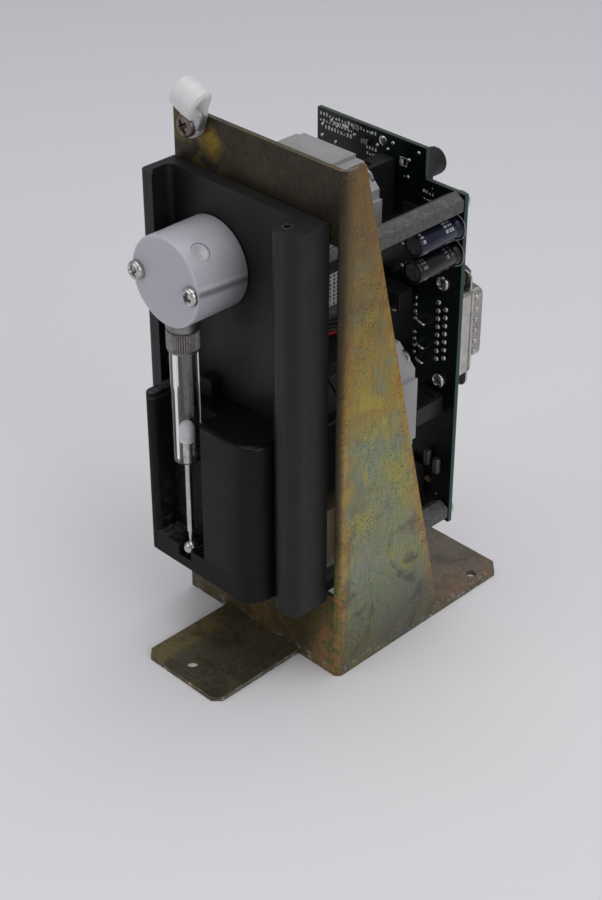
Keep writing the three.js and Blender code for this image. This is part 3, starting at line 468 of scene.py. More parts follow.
for special_look in (chromate, anodised, moulding, milky, glass, laminations, solder_mask, milled_block_painted_reflection,
                     label_print, paper):
    special_look()
ACROSS_Y = (1, 0.15, 1)
turned_steel("bright_steel")
turned_steel("turned_across", stretch=ACROSS_Y)
turned_steel("knurled_steel", color=(0.27, 0.26, 0.245), roughness=0.42)
turned_steel("dark_screw", color=(0.22, 0.175, 0.165), roughness=0.42, stretch=ACROSS_Y)
sleeve("sleeve_navy", (0.006, 0.007, 0.024), (0.45, 0.46, 0.52))
sleeve("sleeve_black", (0.004, 0.004, 0.005), (0.20, 0.20, 0.21))
surface("nylon", (0.86, 0.86, 0.86), 0.5, cloud=3, grain=0.9, depth=0.02, drift=0.05, Subsurface_Weight=1.0,
        Subsurface_Scale=1.0, Transmission_Weight=0.25, Subsurface_Radius=(0.005, 0.005, 0.0048))
surface("white_ptfe", (0.96, 0.96, 0.97), 0.35, drift=0.02)
surface("bell_casting", (0.33, 0.33, 0.335), 0.55, metallic=0.3, cloud=9, depth=0.03, drift=0.08)
surface("dark_casting", (0.030, 0.030, 0.032), 0.5, metallic=0.3, cloud=9, depth=0.03, drift=0.1)
surface("bare_aluminium", (0.42, 0.42, 0.415), 0.34, metallic=0.9, grain=0.35, drift=0.12, stretch=(1, 30, 1))
surface("standoff_steel", (0.098, 0.096, 0.094), 0.5, metallic=0.5, cloud=1.4, depth=0.035, drift=0.38,
        stretch=(1, 4, 1))
# Near black for the guide rail and block, darker than their own black so they sink into the shade behind the
# barrel: partly painted shade.
surface("near_black_in_painted_shade", (0.0075, 0.0075, 0.0078), 0.45, cloud=4, drift=0.3, Specular_IOR_Level=0.22)
surface("black_component", (0.009, 0.009, 0.0098), 0.45, drift=0.2, depth=0.02, Specular_IOR_Level=0.35)
surface("tin_plate", (0.50, 0.49, 0.46), 0.3, metallic=1.0, cloud=3, stretch=(1, 12, 1))
surface("brass", (0.50, 0.34, 0.12), 0.3, metallic=1.0)
surface("gold_pin", (0.75, 0.52, 0.2), 0.22, metallic=1.0, drift=0.1)
surface("lead_red", (0.40, 0.012, 0.010), 0.4)
surface("lead_grey", (0.028, 0.045, 0.034), 0.4)
surface("lead_black", (0.008, 0.008, 0.009), 0.4, drift=0.2)
surface("solder", (0.50, 0.50, 0.51), 0.22, metallic=1.0, grain=0.3)
surface("silkscreen", (0.58, 0.58, 0.60), 0.6, grain=0.25, drift=0.2)
surface("can_end", (0.085, 0.085, 0.09), 0.42, metallic=0.6, drift=0.1)
surface("ceramic", (0.16, 0.12, 0.085), 0.4, drift=0.2)


# ------------------------------------------------------------------ mesh building

TURNS = {
    "X": Matrix.Rotation(TAU / 4, 4, "Y"),
    "Y": Matrix.Rotation(-TAU / 4, 4, "X"),
    "Z": Matrix.Identity(4),
    "left port": Matrix.Rotation(-PORT_SLANT, 4, "Y"),
    "right port": Matrix.Rotation(PORT_SLANT, 4, "Y"),
}


def arc(centre, radius, start, end, steps):
    """Points round a centre from `start` to `end`, in turns. A pair of radii gives an ellipse's arc."""
    wide, tall = radius if isinstance(radius, tuple) else (radius, radius)
    angles = [TAU * (start + (end - start) * step / steps) for step in range(steps + 1)]
    return [(centre[0] + wide * math.cos(angle), centre[1] + tall * math.sin(angle)) for angle in angles]


def bridge(bm, rings, caps=False):
    """Walls from each ring of points to the next, where a ring may be a single point."""
    for low, high in zip(rings, rings[1:]):
        count = max(len(low), len(high))
        for index in range(count):
            after = (index + 1) % count
            corners = [low[index % len(low)], low[after % len(low)], high[after % len(high)],
                       high[index % len(high)]]
            unique = list(dict.fromkeys(corners))
            if len(unique) > 2:
                bm.faces.new(unique)
    if caps:
        bm.faces.new(rings[0])
        bm.faces.new(rings[-1])


def lathe(bm, profile, centre, axis="Z", segments=64, wobble=None, closed=False):
    """Turns [radius, distance] points round a line along `axis` through `centre`.

    wobble(index, radius, distance) may change a point's radius, which makes knurls and grooves.
    The profile of a closed shape joins its last point to its first."""
    turn = Matrix.Translation(Vector(centre)) @ TURNS[axis]
    rings = []
    for radius, distance in profile:
        if radius < 1e-6:
            rings.append([bm.verts.new(turn @ Vector((0, 0, distance)))])
            continue
        ring = []
        for index in range(segments):
            angle = TAU * index / segments
            r = wobble(index, radius, distance) if wobble else radius
            ring.append(bm.verts.new(turn @ Vector((r * math.cos(angle), r * math.sin(angle), distance))))
        rings.append(ring)
    bridge(bm, rings + rings[:1] if closed else rings)


def skin(bm, levels, axis="Y"):
    """A wall through outlines of (x, z) points, each at its own y, or of (y, z) points at its own x."""
    rings = []
    for points, level in levels:
        rings.append([bm.verts.new((u, level, v) if axis == "Y" else (level, u, v)) for u, v in points])
    bridge(bm, rings, caps=True)


def prism(bm, outline, low, high, axis="Y"):
    skin(bm, [(outline, low), (outline, high)], axis)


def block(bm, low, high):
    prism(bm, [(low[0], low[2]), (high[0], low[2]), (high[0], high[2]), (low[0], high[2])], low[1], high[1])


def rounded(x0, x1, y0, y1, radius, steps=6):
    """A rectangle's outline with round corners."""
    corners = [(x1 - radius, y0 + radius), (x1 - radius, y1 - radius), (x0 + radius, y1 - radius),
               (x0 + radius, y0 + radius)]
    points = []
    for index, corner in enumerate(corners):
        points += arc(corner, radius, index / 4 - 0.25, index / 4, steps)
    return points


def tube(bm, points, radius, segments=10):
    """A round rod swept along points, closed at both ends."""
    points = [Vector(point) for point in points]
    rings = []
    side = None
    for index, point in enumerate(points):
        ahead = points[min(index + 1, len(points) - 1)] - points[max(index - 1, 0)]
        ahead.normalize()
        if side is None:
            side = ahead.orthogonal().normalized()
        side = (side - ahead * side.dot(ahead)).normalized()
        other = ahead.cross(side)
        spokes = arc((0, 0), radius, 0, (segments - 1) / segments, segments - 1)
        rings.append([bm.verts.new(point + side * u + other * v) for u, v in spokes])
    bridge(bm, rings, caps=True)


def curve_points(points, steps=8):
    """A smooth path through the points."""
    points = [Vector(point) for point in points]
    ends = [2 * points[0] - points[1], *points, 2 * points[-1] - points[-2]]
    path = []
    for a, b, c, d in zip(ends, ends[1:], ends[2:], ends[3:]):
        for step in range(steps):
            t = step / steps
            path.append(0.5 * (2 * b + (c - a) * t + (2 * a - 5 * b + 4 * c - d) * t * t
                               + (3 * b - a - 3 * c + d) * t ** 3))
    path.append(points[-1])
    return path


def soften(bm, width, segments=2, angle=30):
    """Rounds every edge sharper than `angle` degrees."""
    edges = [edge for edge in bm.edges if len(edge.link_faces) == 2
             and edge.calc_face_angle(0) > math.radians(angle)]
    bmesh.ops.bevel(bm, geom=edges, offset=width, segments=segments, profile=0.5, affect="EDGES",
                    clamp_overlap=True)


def new_object(name, bm):
    """The mesh as an object, in metres, with its faces pointing out."""
    bmesh.ops.recalc_face_normals(bm, faces=bm.faces)
    mesh = bpy.data.meshes.new(name)
    bm.to_mesh(mesh)
    bm.free()
    mesh.transform(Matrix.Scale(MM, 4))
    made = bpy.data.objects.new(name, mesh)
    bpy.context.scene.collection.objects.link(made)
    return made


def finish_piece(name, bm, look, body="chassis", slot=None, stands_for=(), sharp=35, weighted=False):
    """Makes the mesh into a piece of the object, with its material and body. Its slot is not used."""
    piece = new_object(name, bm)
    piece.data.shade_smooth()
    piece.data.materials.append(LOOKS[look])
    if weighted:
        piece.modifiers.new("flat_faces", "WEIGHTED_NORMAL").weight = 80
    else:
        piece.data.set_sharp_from_angle(angle=math.radians(sharp))
    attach(piece, body)
    if stands_for:
        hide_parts(*stands_for)
    return piece


def turned(name, look, profile, centre, axis="Z", segments=64, wobble=None, closed=False, **finish):
    """A piece of one turned shape."""
    bm = bmesh.new()
    lathe(bm, profile, centre, axis, segments, wobble, closed)
    return finish_piece(name, bm, look, **finish)


def node_mesh(node):
    """A CAD node's shape in millimetres, welded, with its flat faces made whole."""
    bm = bmesh.new()
    bm.from_mesh(NODES[node].data)
    bmesh.ops.transform(bm, matrix=Matrix.Scale(1 / MM, 4), verts=bm.verts)
    bmesh.ops.remove_doubles(bm, verts=bm.verts, dist=1e-3)
    bmesh.ops.dissolve_limit(bm, angle_limit=math.radians(0.5), verts=bm.verts, edges=bm.edges)
    return bm


def refine(node, look, width=0.2, segments=2, slot=None, angle=30, name=None):
    """A piece with the CAD node's shape and softly rounded edges."""
    bm = node_mesh(node)
    soften(bm, width, segments, angle)
    finish_piece(name or node + "_finished", bm, look, slot=slot, stands_for=(node,), weighted=True)


def carve(piece, cutters):
    """Cuts other pieces' shapes out of this one, and removes the cutters."""
    for cutter in cutters:
        cut = piece.modifiers.new("cut", "BOOLEAN")
        cut.object = cutter
        cut.solver = "EXACT"
    bpy.context.view_layer.update()
    evaluated = piece.evaluated_get(bpy.context.evaluated_depsgraph_get())
    result = bpy.data.meshes.new_from_object(evaluated)
    piece.modifiers.clear()
    piece.data = result
    for cutter in cutters:
        bpy.data.objects.remove(cutter)


def turned_cutter(profile, centre, axis="Z", segments=48):
    """A turned shape that only cuts, and is never part of the object."""
    bm = bmesh.new()
    lathe(bm, profile, centre, axis, segments)
    return new_object("cutter", bm)


# ------------------------------------------------------------------ screws

def screw_head(bm, centre, radius, height, facing, turn=0.3, recess=0.55):
    """A pan head with a cross recess. `facing` is -1 for a head towards the front, +1 to the back."""
    rings = 22
    spokes = 72
    arm = 0.17 * radius
    reach = 0.62 * radius
    grid = []
    for ring in range(rings + 1):
        share = ring / rings
        r = radius * math.sin(share * TAU / 4)
        dome = height * (0.25 + 0.75 * math.sqrt(max(0.0, 1 - (r / radius) ** 4)))
        row = []
        for spoke in range(spokes if ring else 1):
            angle = TAU * spoke / spokes
            u = r * math.cos(angle)
            v = r * math.sin(angle)
            across = min(abs(u), abs(v))
            far = max(abs(u), abs(v))
            wall = min(1.0, max(0.0, (arm - across) / (0.06 * radius) + 0.5))
            end = min(1.0, max(0.0, (reach - far) / (0.16 * radius)))
            depth = recess * height * 1.6 * wall * end
            x = u * math.cos(turn) - v * math.sin(turn)
            z = u * math.sin(turn) + v * math.cos(turn)
            row.append(bm.verts.new((centre[0] + x, centre[1] + facing * (dome - depth), centre[2] + z)))
        grid.append(row)
    grid.append([bm.verts.new((vert.co.x, centre[1], vert.co.z)) for vert in grid[-1]])
    bridge(bm, grid)
    bm.faces.new(grid[-1])


def threaded_shank(bm, centre, radius, y_from, y_to, pitch=0.5):
    """A shank with a groove for each turn of its thread."""
    profile = [(0, y_from)]
    turns = max(2, int(abs(y_to - y_from) / pitch))
    for turn in range(turns):
        low = y_from + (y_to - y_from) * turn / turns
        half = (y_to - y_from) / turns / 2
        profile += [(radius, low), (radius * 0.84, low + half)]
    profile += [(radius, y_to), (0, y_to)]
    lathe(bm, profile, (centre[0], 0, centre[2]), "Y", 20)


def screw(node, look, head_radius, head_height, shank_radius, facing, turn):
    box = Box(node)
    seat = box.low.y + head_height if facing < 0 else box.high.y - head_height
    end = box.high.y if facing < 0 else box.low.y
    bm = bmesh.new()
    screw_head(bm, (box.mid.x, seat, box.mid.z), head_radius, head_height, facing, turn)
    threaded_shank(bm, box.mid, shank_radius, seat, end)
    finish_piece(node + "_turned", bm, look, stands_for=(node,), sharp=50)


def all_screws():
    corners = ("upper_left", "upper_right", "lower_left", "lower_right")
    groups = (
        (-1, 0.5, 0.9, ["valve_screw_left", "valve_screw_right"]),
        (1, 0.7, 0.7, [f"frame_screw_{index}" for index in range(1, 5)]),
        (1, 0.0, 0.4, [f"board_screw_{corner}" for corner in corners]),
    )
    for facing, first_turn, turn_step, nodes in groups:
        for index, node in enumerate(nodes):
            screw(node, "turned_across", 2.9, 1.8, 1.4, facing, first_turn + turn_step * index)
    screw("cable_clip_screw", "dark_screw", 3.3, 2.2, 1.6, -1, 0.6)


# ------------------------------------------------------------------ front of the module

def bracket():
    refine("mounting_bracket", "zinc_plate", width=0.22, name="bent_bracket")


def front_frame():
    """The extrusion, and the torn burr round the tapped hole in its rail."""
    refine("front_frame", "black_anodised", width=0.3, segments=3, name="extruded_frame")

    def torn(index, radius, height):
        return radius - (0.22 * (0.5 + 0.5 * math.sin(0.7 * index)) if radius > 1.4 else 0)

    profile = [(1.22, -0.5), (1.22, 0.03), (1.42, 0.05), (1.58, 0.01), (1.5, -0.05), (1.3, -0.5)]
    turned("tapped_hole_burr", "standoff_steel", profile, RAIL_TAP, "Z", 40, torn, closed=True)


def valve():
    """The body with its screw holes, plug bore, syringe seat and slanted ports, and the right port's plug."""
    radius = VALVE.size.x / 2
    front = VALVE.low.y - VALVE.mid.y
    back = VALVE.high.y - VALVE.mid.y
    rim = 0.6
    profile = [(0, front), *arc((radius - rim, front + rim), rim, -0.25, 0, 5), (radius, back - 0.3),
               (radius - 0.3, back), (0, back)]
    body = turned("valve_block", "milky_plastic", profile, VALVE.mid, "Y", 160, stands_for=("valve_body",),
                  sharp=50)
    hole = [(0, front - 1), (1.7, front - 1), (1.7, back + 1), (0, back + 1)]
    bore = [(0, front + 2.4), (5.8, front + 2.4), (5.8, back + 1), (0, back + 1)]
    seat = [(0, -radius - 1), (5.2, -radius - 1), (5.2, -12.5), (3.1, -12.5), (3.1, -7.7), (0, -7.7)]
    port = [(0, 7.6), (2.6, 7.6), (2.9, 8.4), (2.9, radius + 1), (0, radius + 1)]
    cutters = [turned_cutter(hole, VALVE.mid + Vector((offset, 0, 0)), "Y", 32)
               for offset in (-VALVE_SCREW_OFFSET, VALVE_SCREW_OFFSET)]
    cutters.append(turned_cutter(bore, VALVE.mid, "Y"))
    cutters.append(turned_cutter(seat, (NUT.mid.x, NUT.mid.y, VALVE.mid.z)))
    for axis in ("left port", "right port"):
        cutters.append(turned_cutter(port, PORT_CENTRE, axis, 64))
    carve(body, cutters)
    for polygon in body.data.polygons:
        polygon.use_smooth = True
    body.data.set_sharp_from_angle(angle=math.radians(50))
    plug = [(0, 8.7), (2.8, 8.7), (2.8, 13.0), (2.7, 13.15), (1.6, 13.2), (1.45, 13.05), (0, 13.05)]
    turned("port_stopper", "milky_plastic", plug, PORT_CENTRE, "right port", stands_for=("port_plug",),
           sharp=50)


def knurled_nut(centre):
    radius = NUT.size.x / 2
    teeth = 44
    low, top = NUT.low.z, NUT.high.z - 4.8
    knurl_low, knurl_high = low + 0.9, low + 6.6

    def knurl(index, r, z):
        inside = knurl_low < z < knurl_high and r > radius - 0.3
        return r - (0.26 if inside and index % 3 == 0 else 0.0)

    profile = [(4.45, low + 6.8), (4.45, low + 0.2), (4.6, low), (radius - 0.5, low),
               (radius - 0.15, low + 0.4), (radius, knurl_low - 0.01), (radius, knurl_low + 0.01),
               (radius, knurl_high - 0.01), (radius, knurl_high + 0.01), (radius - 0.5, knurl_high + 0.3),
               (radius - 0.5, knurl_high + 0.8), (radius, knurl_high + 1.1), (radius, top - 0.3),
               (radius - 0.3, top), (2.8, top), (2.8, NUT.high.z), (0.7, NUT.high.z), (0.7, low + 6.8)]
    turned("knurled_nut", "knurled_steel", profile, centre, "Z", teeth * 3, knurl, closed=True,
           stands_for=("syringe_nut",), sharp=28)


def glass_barrel(centre):
    outer, bore, lip = BARREL.size.x / 2, 2.4, 0.35
    low = BARREL.low.z
    profile = [(bore, low + 0.2), (bore + 0.2, low), *arc((outer - lip, low + lip), lip, -0.25, 0, 4),
               (outer, BARREL.high.z), (bore, BARREL.high.z)]
    turned("glass_barrel", "clear_glass", profile, centre, "Z", 128, closed=True, sharp=40,
           stands_for=("syringe_barrel",))


def plunger(centre):
    """The white tip with its two grooves and dome, and the rod with its collar, thin neck and ball."""
    tip = Box("plunger_tip")
    r, dome, foot = tip.size.x / 2, 2.2, tip.low.z
    profile = [(0, foot), (r - 0.25, foot), (r - 0.12, foot + 0.15), (r - 0.12, foot + 1.9),
               (r - 0.3, foot + 2.05), (r - 0.3, foot + 2.25), (r, foot + 2.4),
               *arc((0, tip.high.z - dome), (r, dome), 0, 0.25, 12)]
    turned("plunger_seal", "white_ptfe", profile, centre, body="carriage", stands_for=("plunger_tip",),
           sharp=50)

    rod = Box("plunger_rod")
    ball, neck = rod.size.x / 2, 0.6
    middle = rod.low.z + ball
    profile = [*arc((0, middle), ball, -0.25, math.acos(neck / ball) / TAU, 20), (neck, middle + 2.9),
               (0.78, middle + 3.7), (0.78, middle + 6.0), (1.08, middle + 6.25), (1.08, middle + 31.7),
               (1.35, middle + 32.3), (1.35, rod.high.z - 0.3), (1.2, rod.high.z), (0, rod.high.z)]
    turned("plunger_shaft", "bright_steel", profile, centre, "Z", 48, body="carriage",
           stands_for=("plunger_rod",), sharp=40)


def syringe():
    centre = (NUT.mid.x, NUT.mid.y, 0)
    knurled_nut(centre)
    glass_barrel(centre)
    plunger(centre)


def carriage():
    """The moulding, with the arm's top rounded over; a highlight line is painted under its cap instead of a
    groove.
    """
    bm = node_mesh("carriage")
    top = CARRIAGE.high.z - 0.05
    crown = [edge for edge in bm.edges if all(vert.co.z > top for vert in edge.verts)]
    bmesh.ops.bevel(bm, geom=crown, offset=1.0, segments=4, profile=0.5, affect="EDGES", clamp_overlap=True)
    edges = [edge for edge in bm.edges if len(edge.link_faces) == 2 and edge.calc_face_angle(0) > 0.7
             and all(vert.co.z < top - 1.2 for vert in edge.verts)]
    bmesh.ops.bevel(bm, geom=edges, offset=0.4, segments=3, profile=0.5, affect="EDGES", clamp_overlap=True)
    level = CARRIAGE.low.z + 2.0
    while level < top:
        bmesh.ops.bisect_plane(bm, geom=[*bm.verts, *bm.edges, *bm.faces], plane_co=(0, 0, level),
                               plane_no=(0, 0, 1))
        level += 3.0
    finish_piece("carriage_moulding", bm, "black_moulding", "carriage", stands_for=("carriage",),
                 weighted=True)


def cable_clip():
    """A nylon strap folded round a cable's place, with its two tabs under the screw."""
    strap, rise, half = 1.7, 10.0, 4.5
    path = [(-0.9, 0.5 + step * (rise - 3.4) / 6) for step in range(7)]
    path += arc((-4.4, rise), (3.1, 3.6), -5 / 360, 293 / 360, 40)
    last = path[-1]
    for step in range(1, 6):
        share = step / 5
        path.append((last[0] * (1 - share) - 2.1 * share, last[1] * (1 - share) + 0.8 * share))
    bm = bmesh.new()
    rows = []
    for index, (depth, up) in enumerate(path):
        before = Vector(path[max(index - 1, 0)])
        after = Vector(path[min(index + 1, len(path) - 1)])
        along = (after - before).normalized()
        loop = math.sin(math.pi * min(1.0, max(0.0, (index - 6) / 41)))
        out = Vector((along.y, -along.x)) * (strap + 1.2 * min(1.0, 1.6 * loop)) / 2
        width = half * (0.86 + 0.14 * loop)
        row = []
        for u, v in arc((0, 0), 1.25, 0.5 / 12, 11.5 / 12, 11):
            w = max(-1, min(1, u)) * width
            side = max(-1, min(1, v))
            row.append(bm.verts.new((w, depth + side * out.x, up + side * out.y)))
        rows.append(row)
    bridge(bm, rows, caps=True)
    for low, high in ((-2.4, -1.25), (-1.15, 0)):
        prism(bm, arc((0, 0), 3.9, 0.5, 1.0, 24) + [(3.7, 5.5), (-3.7, 5.5)], low, high)
    place = Matrix.Translation((CLIP_HOLE.x, PLATE_Y - 0.3, CLIP_HOLE.z))
    bmesh.ops.transform(bm, matrix=place @ Matrix.Rotation(math.radians(22), 4, "Y"), verts=bm.verts)
    finish_piece("nylon_clip", bm, "nylon", stands_for=("cable_clip",), sharp=50)


# ------------------------------------------------------------------ motors

def motors():
    for motor in ("valve_motor", "drive_motor"):
        for part in ("front_bell", "rear_bell"):
            look = "dark_casting" if (motor, part) == ("drive_motor", "front_bell") else "bell_casting"
            refine(f"{motor}_{part}", look, width=0.45, segments=3, name=f"{motor}_{part}_casting")
        refine(f"{motor}_stack", "motor_stack", width=0.15, segments=1, name=f"{motor}_laminated_stack")
        box = Box(f"{motor}_rear_bell")
        bm = bmesh.new()
        for sx in (-1, 1):
            for sz in (-1, 1):
                centre = box.mid + CASE_SCREW_OFFSET * Vector((sx, 0, sz))
                centre.y = box.high.y - 1.2
                screw_head(bm, centre, 2.7, 1.7, 1, 0.4 * sx + sz)
        finish_piece(f"{motor}_case_screws", bm, "turned_across", sharp=50)
    stack = Box("valve_motor_stack")
    bm = bmesh.new()
    prism(bm, rounded(stack.low.y + 0.6, stack.high.y - 0.6, stack.mid.z - 16, stack.mid.z + 9, 0.8),
          stack.high.x, stack.high.x + 0.12, "X")
    finish_piece("motor_label", bm, "label")


def motor_leads():
    """Four insulated leads for each motor, side by side where CAD has one strip."""
    colours = ["lead_red", "lead_grey", "lead_black", "lead_black"]
    for motor, order in (("valve_motor", colours), ("drive_motor", colours[::-1])):
        strip = Box(f"{motor}_leads")
        falls = motor == "valve_motor"
        for index, look in enumerate(order):
            z_shift = (index - 1.5) * 1.3
            z_in = strip.high.z - 2.6 if falls else strip.low.z + 2.6
            z_out = strip.low.z + 2.6 if falls else strip.high.z - 2.6
            sway = 0.25 * math.sin(2.1 * index + (1 if falls else 2))
            route = [(strip.mid.x, strip.low.y + 0.6, z_in + z_shift),
                     (strip.mid.x + sway, strip.low.y + 8, (z_in + z_out) / 2 + z_shift),
                     (strip.mid.x - sway, strip.low.y + 20, z_out + z_shift),
                     (strip.mid.x + sway, strip.low.y + 31, z_out + z_shift),
                     (strip.mid.x, strip.high.y, z_out + z_shift)]
            bm = bmesh.new()
            tube(bm, curve_points(route), 0.6, 12)
            stands_for = (f"{motor}_leads",) if index == 0 else ()
            finish_piece(f"{motor}_lead_{index + 1}", bm, look, stands_for=stands_for, sharp=60)


# ------------------------------------------------------------------ control board

def on_board(u, v):
    """The point u mm from the board's left edge and v mm from its bottom edge, on its front face."""
    return Vector((BOARD.low.x + u, BOARD.low.y, BOARD.low.z + v))


def solder_dots(bm, spots, radius, height=0.7, back=False):
    """Domes of solder on the board's front face, or on its back."""
    side = 1 if back else -1
    for u, v in spots:
        spot = on_board(u, v)
        if back:
            spot.y = BOARD.high.y
        lathe(bm, [(0, 0), *arc((0, 0), (radius, side * height), 0, 0.25, 5)], spot, "Y", 14)


def flat_mark(bm, u, v, width, height, back=False):
    """A mark 0.05 mm proud of the board's front face, or of its back."""
    low = on_board(u, v)
    near, far = (BOARD.high.y, BOARD.high.y + 0.05) if back else (low.y - 0.05, low.y)
    block(bm, (low.x, near, low.z), (low.x + width, far, low.z + height))


def connector_rows():
    """Board places of the connector's solder joints: a row of eight and a row of seven."""
    u = SHELL.mid.x - BOARD.low.x
    v = SHELL.mid.z - BOARD.low.z
    spots = [(u - 1.42, v + (index - 3.5) * CONTACT_PITCH) for index in range(8)]
    return spots + [(u + 1.42, v + (index - 3) * CONTACT_PITCH) for index in range(7)]


def glyph(bm, u, v, width, height):
    """A plain bar of a random height: rows of them look printed, and say nothing."""
    flat_mark(bm, u, v, width * rng.uniform(0.5, 0.9), height * rng.choice((0.45, 0.7, 0.85)))


def silkscreen():
    """Rows of bars, outlines, bright pads and a ring round each capacitor."""
    ink = bmesh.new()
    for line, count, size in ((0, 17, 1.3), (1, 11, 1.2), (2, 9, 1.5)):
        for index in range(count):
            glyph(ink, 1.2 + (2.2 if line == 2 else 0) + index * 1.28, 121.2 - line * 2.0, 0.85, size)
    for index in range(2):
        glyph(ink, 22.4 + index * 1.3, 121.2, 0.9, 1.3)
    for index in range(4):
        glyph(ink, 20.4 + index * 1.15, 116.2, 0.8, 1.1)
        glyph(ink, 20.6 + index * 1.15, 114.4, 0.8, 1.1)
        glyph(ink, 43.2 + index * 1.2, 109.7 - 0.1 * index, 0.85, 1.3)
        glyph(ink, 43.6 + index * 1.2, 107.6 - 0.1 * index, 0.8, 0.9)
    for u, v, width, height in ((33.9, 115.2, 2.6, 2.5), (21.5, 60.0, 9.0, 5.0), (8.0, 70.0, 6.0, 12.0)):
        for du, dv, w, h in ((0, 0, width, 0.16), (0, height, width, 0.16), (0, 0, 0.16, height),
                             (width, 0, 0.16, height + 0.16)):
            flat_mark(ink, u + du, v + dv, w, h)
    for pad in ((6.4, 119.6, 3.4, 0.9), (10.4, 119.9, 2.6, 1.0), (34.4, 115.8, 0.8, 1.4)):
        flat_mark(ink, *pad)
    for node in CAPACITORS:
        box = Box(node)
        lathe(ink, [(4.05, -0.05), (4.25, -0.05), (4.25, 0), (4.05, 0)], (box.mid.x, BOARD.low.y, box.mid.z),
              "Y", 48, closed=True)
    finish_piece("silkscreen_marks", ink, "silkscreen")


def board():
    refine("circuit_board", "board_green", width=0.08, segments=1, name="printed_board")
    joints = bmesh.new()
    solder_dots(joints, connector_rows(), 0.85)
    solder_dots(joints, [(42.2, 55.6 + 2.35 * index) for index in range(9) if index != 4], 0.6, 0.4)
    lone = [(24.9, 118.5), (31.0, 121.0), (29.1, 118.5), (41.1, 121.1), (37.4, 117.7), (37.2, 112.3),
            (20.6, 118.4), (7.9, 114.2), (2.2, 114.8), (6.1, 120.6), (8.6, 119.4), (15.6, 118.9),
            (33.6, 66.8), (36.1, 83.1), (2.4, 118.4)]
    solder_dots(joints, lone, 0.62, 0.5)
    solder_dots(joints, [(rng.uniform(3, 55), rng.uniform(3, 118)) for _ in range(70)], 0.32, 0.12)
    finish_piece("solder_joints", joints, "solder", sharp=60)
    board_back()
    plated = [(0, 0), (1.55, 0), (1.5, -0.15), (1.1, -0.4), (0.5, -0.5), (0, -0.5)]
    turned("plated_hole", "solder", plated, on_board(27.0, 120.6), "Y", 32)
    silkscreen()


def leg_rows(bm, x_low, x_high, heights, reach, y_out, y_board, half=0.2):
    """A leg on each side of a chip at every height."""
    for z in heights:
        for x0, x1 in ((x_low - reach, x_low), (x_high, x_high + reach)):
            block(bm, (x0, y_out, z - half), (x1, y_board, z + half))


def chip(bodies, legs, place, pins, tall, leg, back=False):
    """A low chip on the board at place (u, v, width, height), whose legs stand `leg` mm high."""
    u, v, width, height = place
    low = on_board(u, v)
    face, out = (BOARD.high.y, 1) if back else (BOARD.low.y, -1)
    block(bodies, (low.x, face + out * tall, low.z), (low.x + width, face + out * 0.15, low.z + height))
    heights = [low.z + height * (index + 0.5) / pins for index in range(pins)]
    leg_rows(legs, low.x, low.x + width, heights, 0.9, face + out * leg, face + out * 0.02)


def board_back():
    """Solder joints of the front's headers, capacitors and terminals, small chips, and their legs."""
    joints, chips, legs, ink = bmesh.new(), bmesh.new(), bmesh.new(), bmesh.new()
    pitch = HEADER_PITCH
    for node, count, rows in (("valve_motor_header", 5, 2), ("drive_motor_header", 5, 2),
                              ("terminal_block", 4, 1), ("valve_position_sensor", 3, 2)):
        spot = Box(node).mid - BOARD.low
        for index in range(count):
            for row in range(rows):
                place = (spot.x + (row - (rows - 1) / 2) * pitch, spot.z + (index - (count - 1) / 2) * pitch)
                solder_dots(joints, [place], 0.75, 0.8, back=True)
    for node in CAPACITORS:
        spot = Box(node).mid - BOARD.low
        solder_dots(joints, [(spot.x - 1.3, spot.z), (spot.x + 1.3, spot.z)], 0.8, 0.8, back=True)
    vias = [(rng.uniform(4, 40), rng.uniform(4, 112)) for _ in range(90)]
    solder_dots(joints, vias, 0.3, 0.1, back=True)
    for u, v, w, h, pins in ((12.0, 84.0, 6.0, 9.0, 7), (12.0, 52.0, 6.0, 9.0, 7), (26.0, 30.0, 9.0, 9.0, 6),
                             (30.0, 64.0, 4.0, 5.0, 4)):
        chip(chips, legs, (u, v, w, h), pins, 1.7, 0.8, back=True)
        for line_v in (v - 1.0, v + h + 0.84):
            flat_mark(ink, u - 1.4, line_v, w + 2.8, 0.16, back=True)
        for step in range(3):
            flat_mark(ink, u + step * 1.3, v + h + 1.8, 0.8, 0.3 + 0.35 * (step % 2), back=True)
    finish_piece("back_joints", joints, "solder", sharp=60)
    finish_piece("back_chips", chips, "black_component", sharp=40)
    finish_piece("back_chip_legs", legs, "solder", sharp=40)
    finish_piece("back_marks", ink, "silkscreen")


